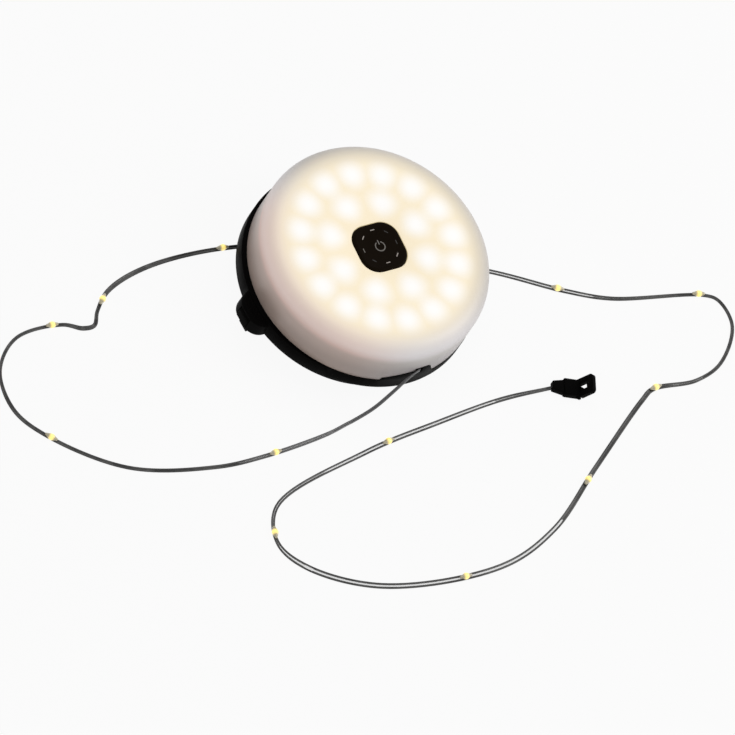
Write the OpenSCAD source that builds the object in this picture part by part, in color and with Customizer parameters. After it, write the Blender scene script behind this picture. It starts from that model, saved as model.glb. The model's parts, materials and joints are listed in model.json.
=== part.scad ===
// Round lamp with a wind-up light string, lying on its back on a table.
// Millimetres, Z up. The origin is on the table below the middle of the lamp.

/* [Dome] */
// Radius of the dome
lamp_r = 70; // [68:0.5:74]
// Height of the dome above the band
dome_h = 30.4; // [30:0.2:34]
// Round of the dome's shoulder
shoulder_r = 10.2; // [7:0.2:12]
// Wall of the dome
dome_wall = 2.2; // [1.6:0.1:2.6]
// Turn of the string outlet about Z
outlet_turn = -92.5; // [-96:0.5:-90]

/* [Base] */
// How far the band stands out past the dome
base_lip = 0.3; // [0.1:0.1:1]
// Wall of the base
base_wall = 2.4; // [2:0.1:2.8]
// Height of the band
band_h = 11; // [11:0.2:13]
// Round of the band's lower edge
band_round = 3.5; // [2.8:0.1:3.6]
// Gap between the base's spigot and the dome
spigot_gap = 0.2; // [0.1:0.05:0.3]
// Height of the rear cover's bowl
rear_h = 7; // [6.6:0.2:8]
// Radius of the rear cover's flat middle
rear_flat_r = 54; // [53:0.5:56]
// Wall of the rear cover
rear_wall = 2.2; // [1.8:0.1:2.4]
// Height of the rubber feet below the rear cover
foot_h = 6; // [5.8:0.1:7]
// Inner radius of the rubber feet
foot_in_r = 44.5; // [40:0.5:46]
// Width of the rubber feet
foot_w = 7; // [5:0.5:8]
// How deep the feet sit in the rear cover
foot_seat = 0.8; // [0.4:0.1:1.2]
// Section of the seal ring under the dome
seal_d = 1.8; // [1.4:0.1:2]
// Radius of the screw bosses
boss_r = 3.2; // [2.9:0.1:3.4]
// Radius of the screws' shanks
screw_r = 1.2; // [1:0.1:1.4]
// Length of the screws below their heads' seats
screw_l = 8; // [6:0.5:9]
// Radius of the screws' heads
head_r = 2.5; // [2.2:0.1:2.6]
// Height of the screws' heads
head_h = 1.6; // [1.2:0.1:2]

/* [Button] */
// Width of the button across its flats
button_w = 30.5; // [28:0.5:32]
// Corner radius of the button
button_round = 10.5; // [8:0.5:12]
// Round of the button's top edge
button_edge = 1.5; // [0.8:0.1:2]
// How far the button stands above the dome
button_proud = 1; // [0.4:0.1:1.6]
// Travel of the button
button_travel = 0.8; // [0.5:0.1:1]
// Wall of the button and its housing
button_wall = 1.6; // [1.2:0.1:1.8]
// Width of the button's retaining lip
button_lip = 1.5; // [1:0.1:2]
// Thickness of the button's seal
button_seal_t = 0.8; // [0.5:0.1:1.2]
// Radius of the ring of dashes on the button
mark_ring_r = 11; // [10:0.2:12]
// Length of a dash
mark_l = 2.8; // [2:0.1:3.4]

/* [Light board] */
// Thickness of the light board
board_t = 1.6; // [1:0.1:2]
// Number of lamps in the outer ring
outer_leds = 16; // [8:1:24]
// Radius of the outer ring of lamps
outer_led_r = 47.8; // [44:0.2:52]
// Number of lamps in the inner ring
inner_leds = 8; // [4:1:12]
// Radius of the inner ring of lamps
inner_led_r = 29.6; // [28:0.2:34]
// Turn of the outer ring of lamps about Z
outer_led_turn = -5.7; // [-12:0.1:12]
// Turn of the inner ring of lamps about Z
inner_led_turn = 15.3; // [-22:0.1:22]
// Thickness of the tray under the light board
tray_t = 2; // [1.6:0.1:2.4]
// Width of the switch under the button
switch_w = 6; // [5:0.5:8]

/* [Reel] */
// Inside radius of the reel's drum
drum_in_r = 44; // [43:0.1:44.5]
// Wall of the reel
drum_wall = 1.6; // [1.2:0.1:1.8]
// Height of the reel
drum_h = 20.4; // [20:0.1:22]
// Thickness of the reel's flanges
flange_t = 1.4; // [1:0.1:1.8]
// Width of the wound string
pack_h = 10.6; // [9:0.2:11]
// Depth of the wound string
pack_t = 7.8; // [6:0.2:8.4]
// Running clearance of shafts
shaft_gap = 0.06; // [0.03:0.01:0.1]
// Running clearance of flat faces
face_gap = 0.1; // [0.06:0.02:0.14]
// Clearance between pieces that move apart
move_gap = 0.3; // [0.2:0.05:0.4]
// Radius of the winding dial
dial_r = 21; // [20:0.25:22]
// Thickness of the winding dial
dial_t = 4.5; // [4.3:0.1:4.6]
// Radius of the dial's neck
neck_r = 14; // [13:0.25:14.5]
// Width of the square key on the dial
key_w = 10; // [9:0.25:11]
// Thickness of the folding crank knob
knob_t = 3; // [2.8:0.1:3.2]
// Width of the folding crank knob
knob_w = 9; // [7:0.25:10]
// Distance of the knob's hinge from the middle
knob_hinge_x = 15; // [14.5:0.1:15.5]
// Radius of the knob's hinge pin
knob_pin_r = 0.75; // [0.6:0.05:0.9]

/* [Battery] */
// Radius of a battery cell
cell_r = 9.2; // [8.9:0.05:9.3]
// Length of a battery cell
cell_l = 65; // [62:0.5:65.5]
// Wall of the battery holder
holder_wall = 1.2; // [0.9:0.05:1.3]

/* [Hanging hook] */
// Turn of the hook's lug about Z
hook_turn = 183; // [182:0.5:185]
// Half width of the lug
lug_half_w = 12.5; // [11.5:0.25:13.5]
// How far the lug reaches past the dome
lug_out = 10; // [9.5:0.1:12]
// Height of the lug
lug_h = 13; // [12:0.25:13.5]
// Radius of the hook's pin
hook_pin_r = 1.5; // [1.2:0.05:1.8]
// Radius of the hook's knuckle
knuckle_r = 4.2; // [3.6:0.1:4.3]
// Width of the hook's knuckle
knuckle_w = 10; // [8:0.25:11]
// Inside radius of the hook's ring
ring_in_r = 8; // [6:0.25:8.5]
// Width of the hook's bar
hook_bar = 4; // [3:0.1:4.2]
// Thickness of the hook's bar
hook_t = 3; // [2.4:0.1:3.2]
// Width of the gate in the hook's ring
gate_w = 9; // [6:0.25:10]

/* [Charging port] */
// Width of the port's socket
usb_w = 9; // [8.5:0.1:9.4]
// Height of the port's socket
usb_h = 3.3; // [3:0.05:3.4]
// Thickness of the port's board
usb_board_t = 1; // [0.8:0.05:1.2]
// Thickness of the port's cover
cover_t = 1.8; // [1.4:0.05:1.9]
// Radius of the cover's hinge pin
cover_pin_r = 0.6; // [0.5:0.05:0.7]

/* [String] */
// Width of the flat string
string_w = 2.2; // [1.8:0.1:2.4]
// Thickness of the flat string
string_t = 1; // [0.8:0.05:1.1]
// Length of a bead
bead_l = 8; // [6:0.25:9]
// Radius of a bead
bead_r = 1.45; // [1.2:0.05:1.45]
// Width of the hook on the string's end
end_w = 12; // [11:0.1:13]
// Length of the body of the hook on the string's end
end_l = 17.2; // [15:0.1:18]
// Bend of the plate of that hook
end_bend = 60; // [50:1:65]

/* [Hidden] */
$fn = 96;
eps = 1;

// Colours
black = "#1a1a1c";
opal = "#fbf3e4";
white = "#f2f2ee";
steel = "#b9bcc0";
amber = "#ffe9a8";
silver = "#b8b8b6";

// Heights, from the table up
rear_z = foot_h;
band_z = rear_z + rear_h;
skirt_z = band_z + band_h;
top_z = skirt_z + dome_h;
dome_in_z = top_z - dome_wall;
floor_z = rear_z + rear_wall;
bush_flange_t = 0.3;
drum_z = floor_z + bush_flange_t + face_gap;
drum_floor_z = drum_z + drum_wall;
drum_top = drum_z + drum_h;
slip_t = 0.4;
brush_h = 1.7;
control_z = drum_top + slip_t + face_gap + brush_h;
control_t = 1.6;
tray_post_h = 3.2;
tray_z = control_z + control_t + tray_post_h;
board_z = tray_z + tray_t;
led_z = board_z + board_t;

// Radii, from the outside in
band_r = lamp_r + base_lip;
band_in_r = band_r - base_wall;
dome_in_r = lamp_r - dome_wall;
spigot_r = dome_in_r - spigot_gap;
spigot_in_r = spigot_r - base_wall;
boss_clear = 0.5;
boss_ring_r = spigot_in_r - boss_clear - boss_r;
boss_turns = [45, 135, 225, 315];
boss_z = band_z + rear_wall;
flange_r = boss_ring_r - boss_r - 1.3;
pack_in_r = drum_in_r + drum_wall;
pack_r = pack_in_r + pack_t;
pack_z = drum_top - flange_t - pack_h;
tray_r = spigot_in_r - 0.4;
tray_rim = 2;
board_r = tray_r - tray_rim - 0.8;
fit_gap = 0.3;

// Seal between dome and spigot
spigot_top = tray_z + 0.5;
seal_z = spigot_top - 1 - seal_d;
seal_in_r = spigot_r - 1.3;

// String outlet, as [sideways, above the band] at outlet_turn
outlet_edge = [[-18.8, -1], [-18.1, 2.5], [-9.5, 5.1], [0, 7.1], [1.2, 9.3], [10.6, 9.3],
    [12.7, 7.4], [17.2, -1]];
outlet_middle = 5;
exit = [1.2, -70.5, 31];
exit_turn = 45;
leave_turn = 196;
guide_w = 3.4;
guide_h = 3;
guide_l = 8.5;
guide_from = 0.5;

// Button and what is under it
hole_w = button_w + 0.7;
seal_w = hole_w + 6.2;
seal_top = dome_in_z;
housing_top = seal_top - button_seal_t;
lip_w = button_w + 2 * button_lip;
lip_t = 1.45;
lip_top = housing_top - 0.05;
lip_z = lip_top - lip_t;
ledge_top = lip_z - button_travel - face_gap;
ledge_w = button_w - 3.5;
housing_in_w = lip_w + 2 * move_gap;
button_top = top_z + button_proud;
switch_h = 3.5;
plunger_r = 1.75;
plunger_top = led_z + switch_h + 0.9;
press_z = plunger_top + button_travel + face_gap;
mark_w = 0.6;
mark_depth = 0.5;
marks = 8;
symbol_r = 3.3;
symbol_depth = 0.3;

// Reel and its crank
bush_r = 16;
bush_flange_r = 19;
dial_z = rear_z - move_gap - dial_t;
knob_z = dial_z + 0.2;
knob_hinge_z = knob_z + knob_t / 2;
slot_h = knob_t + 0.7;
slot_w = knob_w + 2 * move_gap;
slot_end_x = knob_hinge_x + knob_t / 2 + 0.4;
knob_far_x = -13;
scoop_x = knob_far_x - 1.5;
scoop_r = 6;
scoop_depth = 2.2;
scallops = 20;
scallop_r = 1.6;
dial_head_r = 4;
dial_head_h = 1.8;
dial_screw_r = 1.5;
slip_w = 2;
slip_a_r = pack_in_r + 1.3;
slip_b_r = pack_in_r + 5.4;

// Battery holder
holder_gap = 0.4;
cell_gap = 0.4;
holder_l = cell_l + 6 + 2 * holder_wall;
holder_w = 4 * cell_r + cell_gap + 2 * holder_wall + 0.4;
holder_z = drum_floor_z + dial_head_h + 0.6;
cell_y = cell_r + cell_gap / 2;
cell_z = holder_z + holder_wall + cell_r;
lead_r = 0.6;
lead_x = 4;
lead_z = tray_z - 1.6;
lead_far_y = 47;

// Control board: a sector above the reel
control_in_r = 43;
control_r = lamp_r - 8;
control_from = 60;
control_to = 120;
tray_posts = [66, 114];
tray_post_ring_r = control_r - 6;
tray_post_r = 2.5;
brush_a_turn = 80;
brush_b_turn = 100;

// Lug and hanging hook, in the frame turned by hook_turn
lug_reach = lamp_r + lug_out;
lug_top = band_z + 10;
lug_z = lug_top - lug_h;
lug_corner = 9.5;
lug_edge = 2.2;
hook_x = lug_reach - knuckle_r;
hook_z = lug_z + 6.3;
slot_x = hook_x - knuckle_r - move_gap;
hook_pin_in = knuckle_w / 2 + 3;
hook_pin_l = hook_pin_in + lug_half_w - 2.9;
arm_half_w = 4;
arm_z = 2.4;
ring_r = ring_in_r + hook_bar;
ring_x = dial_r + 3 + ring_r;
gate_turn = 120;

// Charging port at +Y
usb_z = band_z + 5.9;
usb_pad_y = band_r + 1.7;
usb_floor_y = usb_pad_y - 2.3;
usb_board_z = usb_z - usb_h / 2 - usb_board_t;
usb_board_y = [control_r - 2.4, band_in_r + 0.3];
usb_socket_y = [control_r - 0.6, band_in_r + 0.9];
cover_x = [-8.6, 7.9];
cover_half_h = 3.1;
barrel_r = 1.3;
cover_y = usb_floor_y + 0.2 + cover_t / 2;

// The free string lies on the table, hand-laid, and passes under the lamp
lie = 0.6;
route = [exit, [-6, -72.5, 29], [-13.5, -74.5, 20.5], [-23.5, -76.5, 8], [-36.5, -78, lie],
    [-55, -81.5, lie], [-99.5, -84.5, lie], [-131.5, -83, lie], [-184, -69, lie],
    [-223.5, -36.5, lie], [-235, -16.5, lie], [-232, 8.5, lie], [-212.5, 26, lie],
    [-181, 26.5, lie], [-169.5, 21, lie], [-162, 21, lie], [-156, 29, lie], [-143.5, 39.5, lie],
    [-113, 47.5, lie], [-55.5, 45.5, lie], [16.5, 26, lie], [93, -11, lie], [132, -34.5, lie],
    [157.5, -46.5, lie], [214.5, -59.5, lie], [222, -65, lie], [223, -82, lie],
    [204.5, -103, lie], [184, -109.5, lie], [155.5, -107.5, lie], [145.5, -112.5, lie],
    [96.5, -145.5, lie], [53.5, -175, lie], [10.5, -188.5, lie], [-67, -180.5, lie],
    [-106.5, -157, lie], [-116.5, -138.5, lie], [-106.5, -116.5, lie], [-37, -98.5, lie],
    [15.5, -92.5, lie], [61, -89, lie], [93.5, -90.5, 1.2]];
// Where the beads sit, as a point's number and the share of the way to the next
bead_places = [5.82, 8.92, 12.75, 16.54, 18.88, 20.3, 21.87, 23.91, 28.93, 31.19, 33.33, 36.3,
    38.3];
bead_z = 1.5;
bead_end_r = 0.75;

// Hook on the string's end
end_at = [94, -89.8];
end_turn = -24;
end_body_h = 5;
end_neck_l = 6.8;
end_neck_w = 5.5;
end_plate_l = 11.5;
end_plate_t = 2.8;
end_slit = 1.15;
end_window = [4, 4];

// ---------- helpers ----------

module slab(x, y, z)
    translate([x[0], y[0], z[0]]) cube([x[1] - x[0], y[1] - y[0], z[1] - z[0]]);

module ring(r_in, r_out, z0, z1)
    translate([0, 0, z0]) difference() {
        cylinder(r = r_out, h = z1 - z0);
        translate([0, 0, -eps]) cylinder(r = r_in, h = z1 - z0 + 2 * eps);
    }

module disc(r, z0, z1)
    translate([0, 0, z0]) cylinder(r = r, h = z1 - z0);

module arc_bar(r_in, r_out, from, to, z0, z1)
    translate([0, 0, z0]) rotate([0, 0, from]) rotate_extrude(angle = to - from)
        translate([r_in, 0]) square([r_out - r_in, z1 - z0]);

module round_square(w, r) {
    square([w, w - 2 * r], center = true);
    square([w - 2 * r, w], center = true);
    for (x = [-1, 1], y = [-1, 1])
        translate([x * (w / 2 - r), y * (w / 2 - r)]) circle(r);
}

module square_ring(w_out, w_in, r_out, z0, z1)
    translate([0, 0, z0]) linear_extrude(z1 - z0) difference() {
        round_square(w_out, r_out);
        round_square(w_in, r_out - (w_out - w_in) / 2);
    }

// Half a section, l wide and h high, with its outer corners rounded
module edge_section(l, h, low, high) {
    square([l - max(low, high), h]);
    translate([0, low]) square([l, h - low - high]);
    if (low > 0) translate([l - low, low]) circle(low);
    if (high > 0) translate([l - high, h - high]) circle(high);
}

module at_bosses()
    for (a = boss_turns) rotate([0, 0, a]) translate([boss_ring_r, 0, 0]) children();

module outlet_cut(gap, from_r, to_r)
    rotate([0, 0, outlet_turn]) translate([from_r, 0, skirt_z]) rotate([90, 0, 90])
        linear_extrude(to_r - from_r) polygon([for (p = outlet_edge)
            [p[0] + (p[0] < outlet_middle ? gap : -gap), p[1] - gap]]);

// ---------- points along the string ----------

function knot(a, b) = sqrt(norm(b - a));
function blend(a, b, ta, tb, t) = ((tb - t) * a + (t - ta) * b) / (tb - ta);
function through(p0, p1, p2, p3, u) =
    let (t1 = knot(p0, p1), t2 = t1 + knot(p1, p2), t3 = t2 + knot(p2, p3),
        t = t1 + u * (t2 - t1),
        a = blend(p0, p1, 0, t1, t), b = blend(p1, p2, t1, t2, t), c = blend(p2, p3, t2, t3, t))
    blend(blend(a, b, 0, t2, t), blend(b, c, t1, t3, t), t1, t2, t);
function padded(p) =
    concat([2 * p[0] - p[1]], p, [2 * p[len(p) - 1] - p[len(p) - 2]]);
function on_curve(p, s) =
    let (i = min(floor(s), len(p) - 2), q = padded(p))
    through(q[i], q[i + 1], q[i + 2], q[i + 3], s - i);
function on_table(q) = [q[0], q[1], max(q[2], lie)];
function string_at(s) = on_table(on_curve(route, s));
function unit(v) = v / norm(v);
function heading(s) =
    unit(string_at(min(s + 0.02, len(route) - 1)) - string_at(max(s - 0.02, 0)));

// One flat tube through the points, with eight sides
tube_sides = 8;
module flat_tube(points, headings, rolls, w, t) {
    n = len(points);
    k = cos(180 / tube_sides);
    rings = [for (i = [0:n - 1]) let (
            side = unit(cross([0, 0, 1], headings[i])), up = cross(headings[i], side))
        for (j = [0:tube_sides - 1]) let (
            a = 360 * (j + 0.5) / tube_sides,
            x = w / 2 / k * cos(a), y = t / 2 / k * sin(a),
            xr = x * cos(rolls[i]) - y * sin(rolls[i]), yr = x * sin(rolls[i]) + y * cos(rolls[i]))
        points[i] + xr * side + yr * up];
    polyhedron(rings, concat(
        [[for (j = [0:tube_sides - 1]) j]],
        [for (i = [0:n - 2], j = [0:tube_sides - 1]) let (
            a = i * tube_sides + j, b = i * tube_sides + (j + 1) % tube_sides)
            each [[a, a + tube_sides, b + tube_sides], [a, b + tube_sides, b]]],
        [[for (j = [tube_sides - 1:-1:0]) (n - 1) * tube_sides + j]]));
}

// ---------- dome and button ----------

module dome_section(r, h, round_r) {
    square([r - round_r, h]);
    square([r, h - round_r]);
    translate([r - round_r, h - round_r]) circle(round_r);
}

module diffuser() color(opal) difference() {
    translate([0, 0, skirt_z]) rotate_extrude() difference() {
        dome_section(lamp_r, dome_h, shoulder_r);
        translate([0, -eps])
            dome_section(dome_in_r, dome_h - dome_wall + eps, shoulder_r - dome_wall);
    }
    translate([0, 0, dome_in_z - eps]) linear_extrude(dome_wall + 2 * eps)
        round_square(hole_w, button_round + 0.35);
    outlet_cut(0, dome_in_r - eps, lamp_r + eps);
    outlet_groove();
}

module button_body()
    translate([0, 0, lip_z]) {
        flat = button_w / 2 - button_round;
        body_h = button_top - lip_z;
        for (a = [0, 180]) rotate([0, 0, a]) {
            rotate([90, 0, 0]) linear_extrude(2 * flat, center = true)
                edge_section(button_w / 2, body_h, 0, button_edge);
            translate([-flat, flat, 0]) rotate([90, 0, 90]) linear_extrude(2 * flat)
                edge_section(button_round, body_h, 0, button_edge);
        }
        for (a = [0:90:270]) rotate([0, 0, a]) translate([flat, flat, 0])
            rotate_extrude(angle = 90) edge_section(button_round, body_h, 0, button_edge);
    }

module mark_set(depth)
    for (i = [0:marks - 1]) rotate([0, 0, i * 360 / marks])
        translate([mark_ring_r, 0, button_top - depth / 2])
            cube([mark_w, mark_l, depth], center = true);

module symbol_shape(z0, z1) {
    difference() {
        ring(symbol_r - 0.7, symbol_r, z0, z1);
        slab([-1.3, 1.3], [0, symbol_r + eps], [z0 - eps, z1 + eps]);
    }
    slab([-0.35, 0.35], [1.2, symbol_r + 0.9], [z0, z1]);
}

module button_cap() color(black) difference() {
    union() {
        difference() {
            union() {
                button_body();
                translate([0, 0, lip_z]) linear_extrude(lip_t)
                    round_square(lip_w, button_round + button_lip);
            }
            translate([0, 0, lip_z - eps])
                linear_extrude(button_top - button_wall - lip_z + eps)
                    round_square(button_w - 2 * button_wall, button_round - button_wall);
        }
        disc(3, press_z, button_top - button_wall / 2);
    }
    mark_set(mark_depth);
    symbol_shape(button_top - symbol_depth, button_top + eps);
}

module indicator_marks() color(white) mark_set(mark_depth);

module power_symbol() color(white) symbol_shape(button_top - symbol_depth, button_top);

module button_housing() color(white) {
    square_ring(seal_w, housing_in_w, button_round + button_wall + 1.9, led_z, housing_top);
    square_ring(seal_w - 1, ledge_w, button_round + button_wall + 1.4,
        ledge_top - button_wall, ledge_top);
}

module button_seal() color("#3a3a3c")
    square_ring(seal_w, hole_w + 0.2, button_round + button_wall + 1.9, housing_top, seal_top);

module tact_switch() color(black) {
    translate([0, 0, led_z + switch_h / 2]) cube([switch_w, switch_w, switch_h], center = true);
    disc(plunger_r, led_z + switch_h, plunger_top);
}

// ---------- light board and tray ----------

module led_board() color(white) difference() {
    disc(board_r, board_z, led_z);
    at_bosses() disc(head_r + 0.7, board_z - eps, led_z + eps);
}

module led_ring(n, r, phase)
    for (i = [0:n - 1]) rotate([0, 0, phase + i * 360 / n])
        translate([r, 0, led_z + 0.35]) cube([2.8, 3.5, 0.7], center = true);

module board_leds() color(amber) {
    led_ring(outer_leds, outer_led_r, outer_led_turn);
    led_ring(inner_leds, inner_led_r, inner_led_turn);
}

module led_tray() color(white) difference() {
    union() {
        disc(tray_r, tray_z, board_z);
        difference() {
            ring(tray_r - tray_rim, tray_r, tray_z, board_z + 3);
            at_bosses() disc(head_r + 0.5, board_z, board_z + 3 + eps);
        }
        for (a = tray_posts) rotate([0, 0, a]) translate([tray_post_ring_r, 0, 0])
            disc(tray_post_r, control_z + control_t, tray_z + eps);
    }
    at_bosses() disc(screw_r + 0.2, tray_z - eps, board_z + eps);
    translate([0, lead_far_y + 6, 0]) disc(3, tray_z - eps, board_z + eps);
}

module tray_screws() color(steel) at_bosses() {
    disc(head_r, board_z, board_z + head_h);
    disc(screw_r, board_z - screw_l, board_z + eps / 2);
}

module seal_ring() color("#3a3a3c")
    ring(seal_in_r, dome_in_r, seal_z, seal_z + seal_d);

// ---------- base ----------

module band_section() {
    translate([band_in_r, band_z + band_round])
        square([base_wall, band_h - band_round]);
    translate([spigot_in_r, skirt_z - base_wall]) square([band_r - spigot_in_r, base_wall]);
    translate([spigot_in_r, skirt_z - base_wall])
        square([base_wall, spigot_top - skirt_z + base_wall]);
    translate([rear_plug_r + 0.2, band_z])
        square([band_r - band_round - rear_plug_r - 0.2, base_wall]);
    intersection() {
        translate([band_r - band_round, band_z + band_round]) difference() {
            circle(band_round);
            circle(band_round - base_wall);
        }
        translate([band_r - band_round, band_z]) square(band_round);
    }
}

module lug() difference() {
    flat = lug_half_w - lug_corner;
    rotate([0, 0, hook_turn]) translate([0, 0, lug_z]) {
        rotate([90, 0, 0]) linear_extrude(2 * flat, center = true)
            edge_section(lug_reach, lug_h, lug_edge, lug_edge);
        for (m = [0, 1]) mirror([0, m, 0]) {
            translate([0, flat, 0]) rotate([90, 0, 90]) linear_extrude(lug_reach - lug_corner)
                edge_section(lug_corner, lug_h, lug_edge, lug_edge);
            translate([lug_reach - lug_corner, flat, 0]) rotate_extrude(angle = 90)
                edge_section(lug_corner, lug_h, lug_edge, lug_edge);
        }
    }
    disc(band_in_r + 0.1, lug_z - eps, lug_top + eps);
    disc(rear_edge_r + 0.8, lug_z - eps, band_z);
}

// The band stands out further to one side, as a disc set off the middle
crescent_r = band_r - 2.1;
crescent_out = 5;
crescent_turn = 165;
module crescent() difference() {
    rotate([0, 0, crescent_turn]) translate([crescent_out, 0, 0])
        disc(crescent_r, band_z + 0.5, skirt_z - 0.5);
    disc(band_r - 1.5, band_z, skirt_z);
}

module usb_pad() {
    difference() {
        slab([-11, 11], [band_in_r, usb_pad_y], [band_z + 0.6, skirt_z - 0.6]);
        disc(band_in_r + 0.1, band_z, skirt_z);
    }
    slab([-10, 10], [usb_board_y[0], band_in_r], [boss_z, usb_board_z]);
}

module usb_cuts() {
    slab([cover_x[0] - 1.8, cover_x[1] + 1.6], [usb_floor_y, usb_pad_y + eps],
        [usb_z - cover_half_h - move_gap, usb_z + cover_half_h + move_gap]);
    slab([-usb_w / 2 - move_gap, usb_w / 2 + move_gap], [usb_board_y[1] - 1, usb_pad_y],
        [usb_z - usb_h / 2 - move_gap, usb_z + usb_h / 2 + move_gap]);
    slab([-10.2, 10.2], [usb_board_y[0] - eps, usb_board_y[1]],
        [usb_board_z, usb_z + usb_h / 2 + move_gap]);
    translate([cover_x[0], cover_y, 0]) {
        disc(cover_pin_r, usb_z - cover_half_h - 1.6, usb_z + cover_half_h + 1);
        disc(barrel_r + move_gap, usb_z - cover_half_h - move_gap,
            usb_z + cover_half_h + move_gap);
    }
}

module boss(z1) {
    disc(boss_r, boss_z, z1);
    translate([0, -1.2, skirt_z - base_wall])
        cube([spigot_in_r - boss_ring_r + 1, 2.4, z1 - skirt_z + base_wall]);
}

// The groove that the string runs in as it leaves the outlet
module outlet_groove()
    translate([exit[0], exit[1], 0]) rotate([0, 0, leave_turn])
        slab([-0.5, 14], [-1.4, 1.4], [exit[2] - guide_h / 2 - 0.2, exit[2] + guide_h / 2]);

module guide_box(gap, from, to)
    translate([exit[0], exit[1], 0]) rotate([0, 0, exit_turn])
        slab([from, to], [-guide_w / 2 - gap, guide_w / 2 + gap],
            [exit[2] - guide_h / 2, exit[2] + guide_h / 2 + gap]);

module base_shell() color(black) difference() {
    union() {
        rotate_extrude() band_section();
        intersection() {
            outlet_cut(fit_gap, spigot_r - 0.5, lamp_r + 0.4);
            disc(lamp_r + 0.4, skirt_z - eps, top_z);
        }
        at_bosses() boss(tray_z);
        lug();
        crescent();
        usb_pad();
    }
    ring(seal_in_r, dome_in_r + eps, seal_z, seal_z + seal_d);
    at_bosses() {
        disc(screw_r + 0.05, tray_z - screw_l - 4, tray_z + eps);
        disc(screw_r + 0.05, boss_z - eps, boss_z + screw_l + 2);
    }
    rotate([0, 0, hook_turn]) {
        slab([slot_x, lug_reach + eps], [-knuckle_w / 2 - move_gap, knuckle_w / 2 + move_gap],
            [lug_z - eps, hook_z + knuckle_r + move_gap]);
        translate([hook_x, hook_pin_in, hook_z]) rotate([90, 0, 0])
            cylinder(r = hook_pin_r, h = hook_pin_in + lug_half_w + 1);
    }
    usb_cuts();
    guide_box(0.05, guide_from, guide_from + guide_l + 3);
    outlet_groove();
}

module string_guide() color(black) difference() {
    guide_box(0, guide_from, guide_from + guide_l);
    translate([exit[0], exit[1], 0]) rotate([0, 0, exit_turn])
        slab([0, guide_l + 2], [-0.6, 0.6], [exit[2] - 1.3, exit[2] + 1.3]);
}

// ---------- string ----------

// From the reel to the outlet: along the guide, then down to the wound string
lead_far = [36.8, -39.7, 19.5];
module string_lead() color(silver) {
    bend = exit + (guide_l + guide_from) * [cos(exit_turn), sin(exit_turn), 0];
    points = [exit, bend, lead_far];
    ways = [unit(bend - exit), unit(lead_far - exit), unit(lead_far - bend)];
    flat_tube(points, ways, [90, 90, 90], string_w, string_t * 0.8);
}

// How far the string is rolled on edge, fading out as it comes down to the table
function roll_at(s) = 90 * max(0, 1 - s / 2.5);

module string_wire() color(silver) {
    steps = [0:0.5:len(route) - 1];
    flat_tube([for (s = steps) string_at(s)], [for (s = steps) heading(s)],
        [for (s = steps) roll_at(s)], string_w, string_t);
}

// A drop, spun about the string: thin ends, a round middle
module bead() rotate([0, 90, 0]) rotate_extrude() {
    half = bead_l / 2;
    waist = bead_r * 0.9;
    polygon([[0, -half], [bead_end_r, -half], [waist, -bead_r * 0.7], [bead_r, 0],
        [waist, bead_r * 0.7], [bead_end_r, half], [0, half]]);
}

module string_leds() color(amber)
    for (s = bead_places) {
        p = string_at(s);
        way = heading(s);
        translate([p[0], p[1], bead_z]) rotate([0, 0, atan2(way[1], way[0])]) bead();
    }

// The eye at the end: a plate with a window, open at a slit, and a barb beside the slit
module end_plate() translate([0, 0, -end_plate_t / 2]) linear_extrude(end_plate_t) {
    win = [end_slit + 0.1, 0.2 - end_window[1] / 2];
    difference() {
        union() {
            translate([-1.5, -end_w / 2]) square([end_plate_l - 0.5, end_w]);
            translate([0, 2 - end_w / 2]) square([end_plate_l, end_w - 4]);
            for (y = [-1, 1]) translate([end_plate_l - 2, y * (end_w / 2 - 2)]) circle(2);
        }
        translate(win) square([end_window[0] + 1.6, end_window[1]]);
        translate([0.1, -end_w / 2 - eps])
            square([end_slit, win[1] + end_window[1] + end_w / 2 + eps]);
    }
    translate([win[0], win[1] - eps]) square([1.9, eps + 1.2]);
    translate([win[0] + 0.95, win[1] + 1.2]) circle(0.95);
}

module end_hook() color(black) translate([end_at[0], end_at[1], 0]) rotate([0, 0, end_turn]) {
    barrel_w = end_w - 1.2;
    linear_extrude(end_body_h - 0.6) polygon([[0, -end_neck_w / 2],
        [end_neck_l, 1 - barrel_w / 2], [end_neck_l + eps, 1 - barrel_w / 2],
        [end_neck_l + eps, barrel_w / 2 - 1], [end_neck_l, barrel_w / 2 - 1],
        [0, end_neck_w / 2]]);
    slab([end_neck_l, end_l], [-barrel_w / 2, barrel_w / 2], [0, end_body_h]);
    translate([end_l - 0.6, 0, end_body_h / 2 + 0.3]) rotate([0, -end_bend, 0]) end_plate();
}

// ---------- battery ----------

module battery_cells() color("#6fa6c9")
    for (y = [-1, 1]) translate([0, y * cell_y, cell_z]) rotate([0, 90, 0])
        cylinder(r = cell_r, h = cell_l, center = true);

module battery_holder() color(black) difference() {
    slab([-holder_l / 2, holder_l / 2], [-holder_w / 2, holder_w / 2], [holder_z, tray_z]);
    slab([holder_wall - holder_l / 2, holder_l / 2 - holder_wall],
        [holder_wall - holder_w / 2, holder_w / 2 - holder_wall],
        [holder_z + holder_wall, tray_z + eps]);
    for (x = [-1, 1]) translate([x * lead_x, holder_w / 2 - holder_wall - eps, lead_z])
        rotate([-90, 0, 0]) cylinder(r = lead_r + 0.05, h = holder_wall + 2 * eps);
}

module battery_contacts() color(steel)
    for (x = [-1, 1], y = [-1, 1]) {
        gap = (holder_l / 2 - holder_wall) - cell_l / 2;
        translate([x * (cell_l / 2 + gap - 0.2), y * cell_y, cell_z])
            cube([0.4, 12, 12], center = true);
        translate([x * (cell_l / 2 + gap / 2 - 0.2), y * cell_y, cell_z]) rotate([0, 90, 0])
            cylinder(r = 2.5, h = gap - 0.4, center = true);
    }

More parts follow.
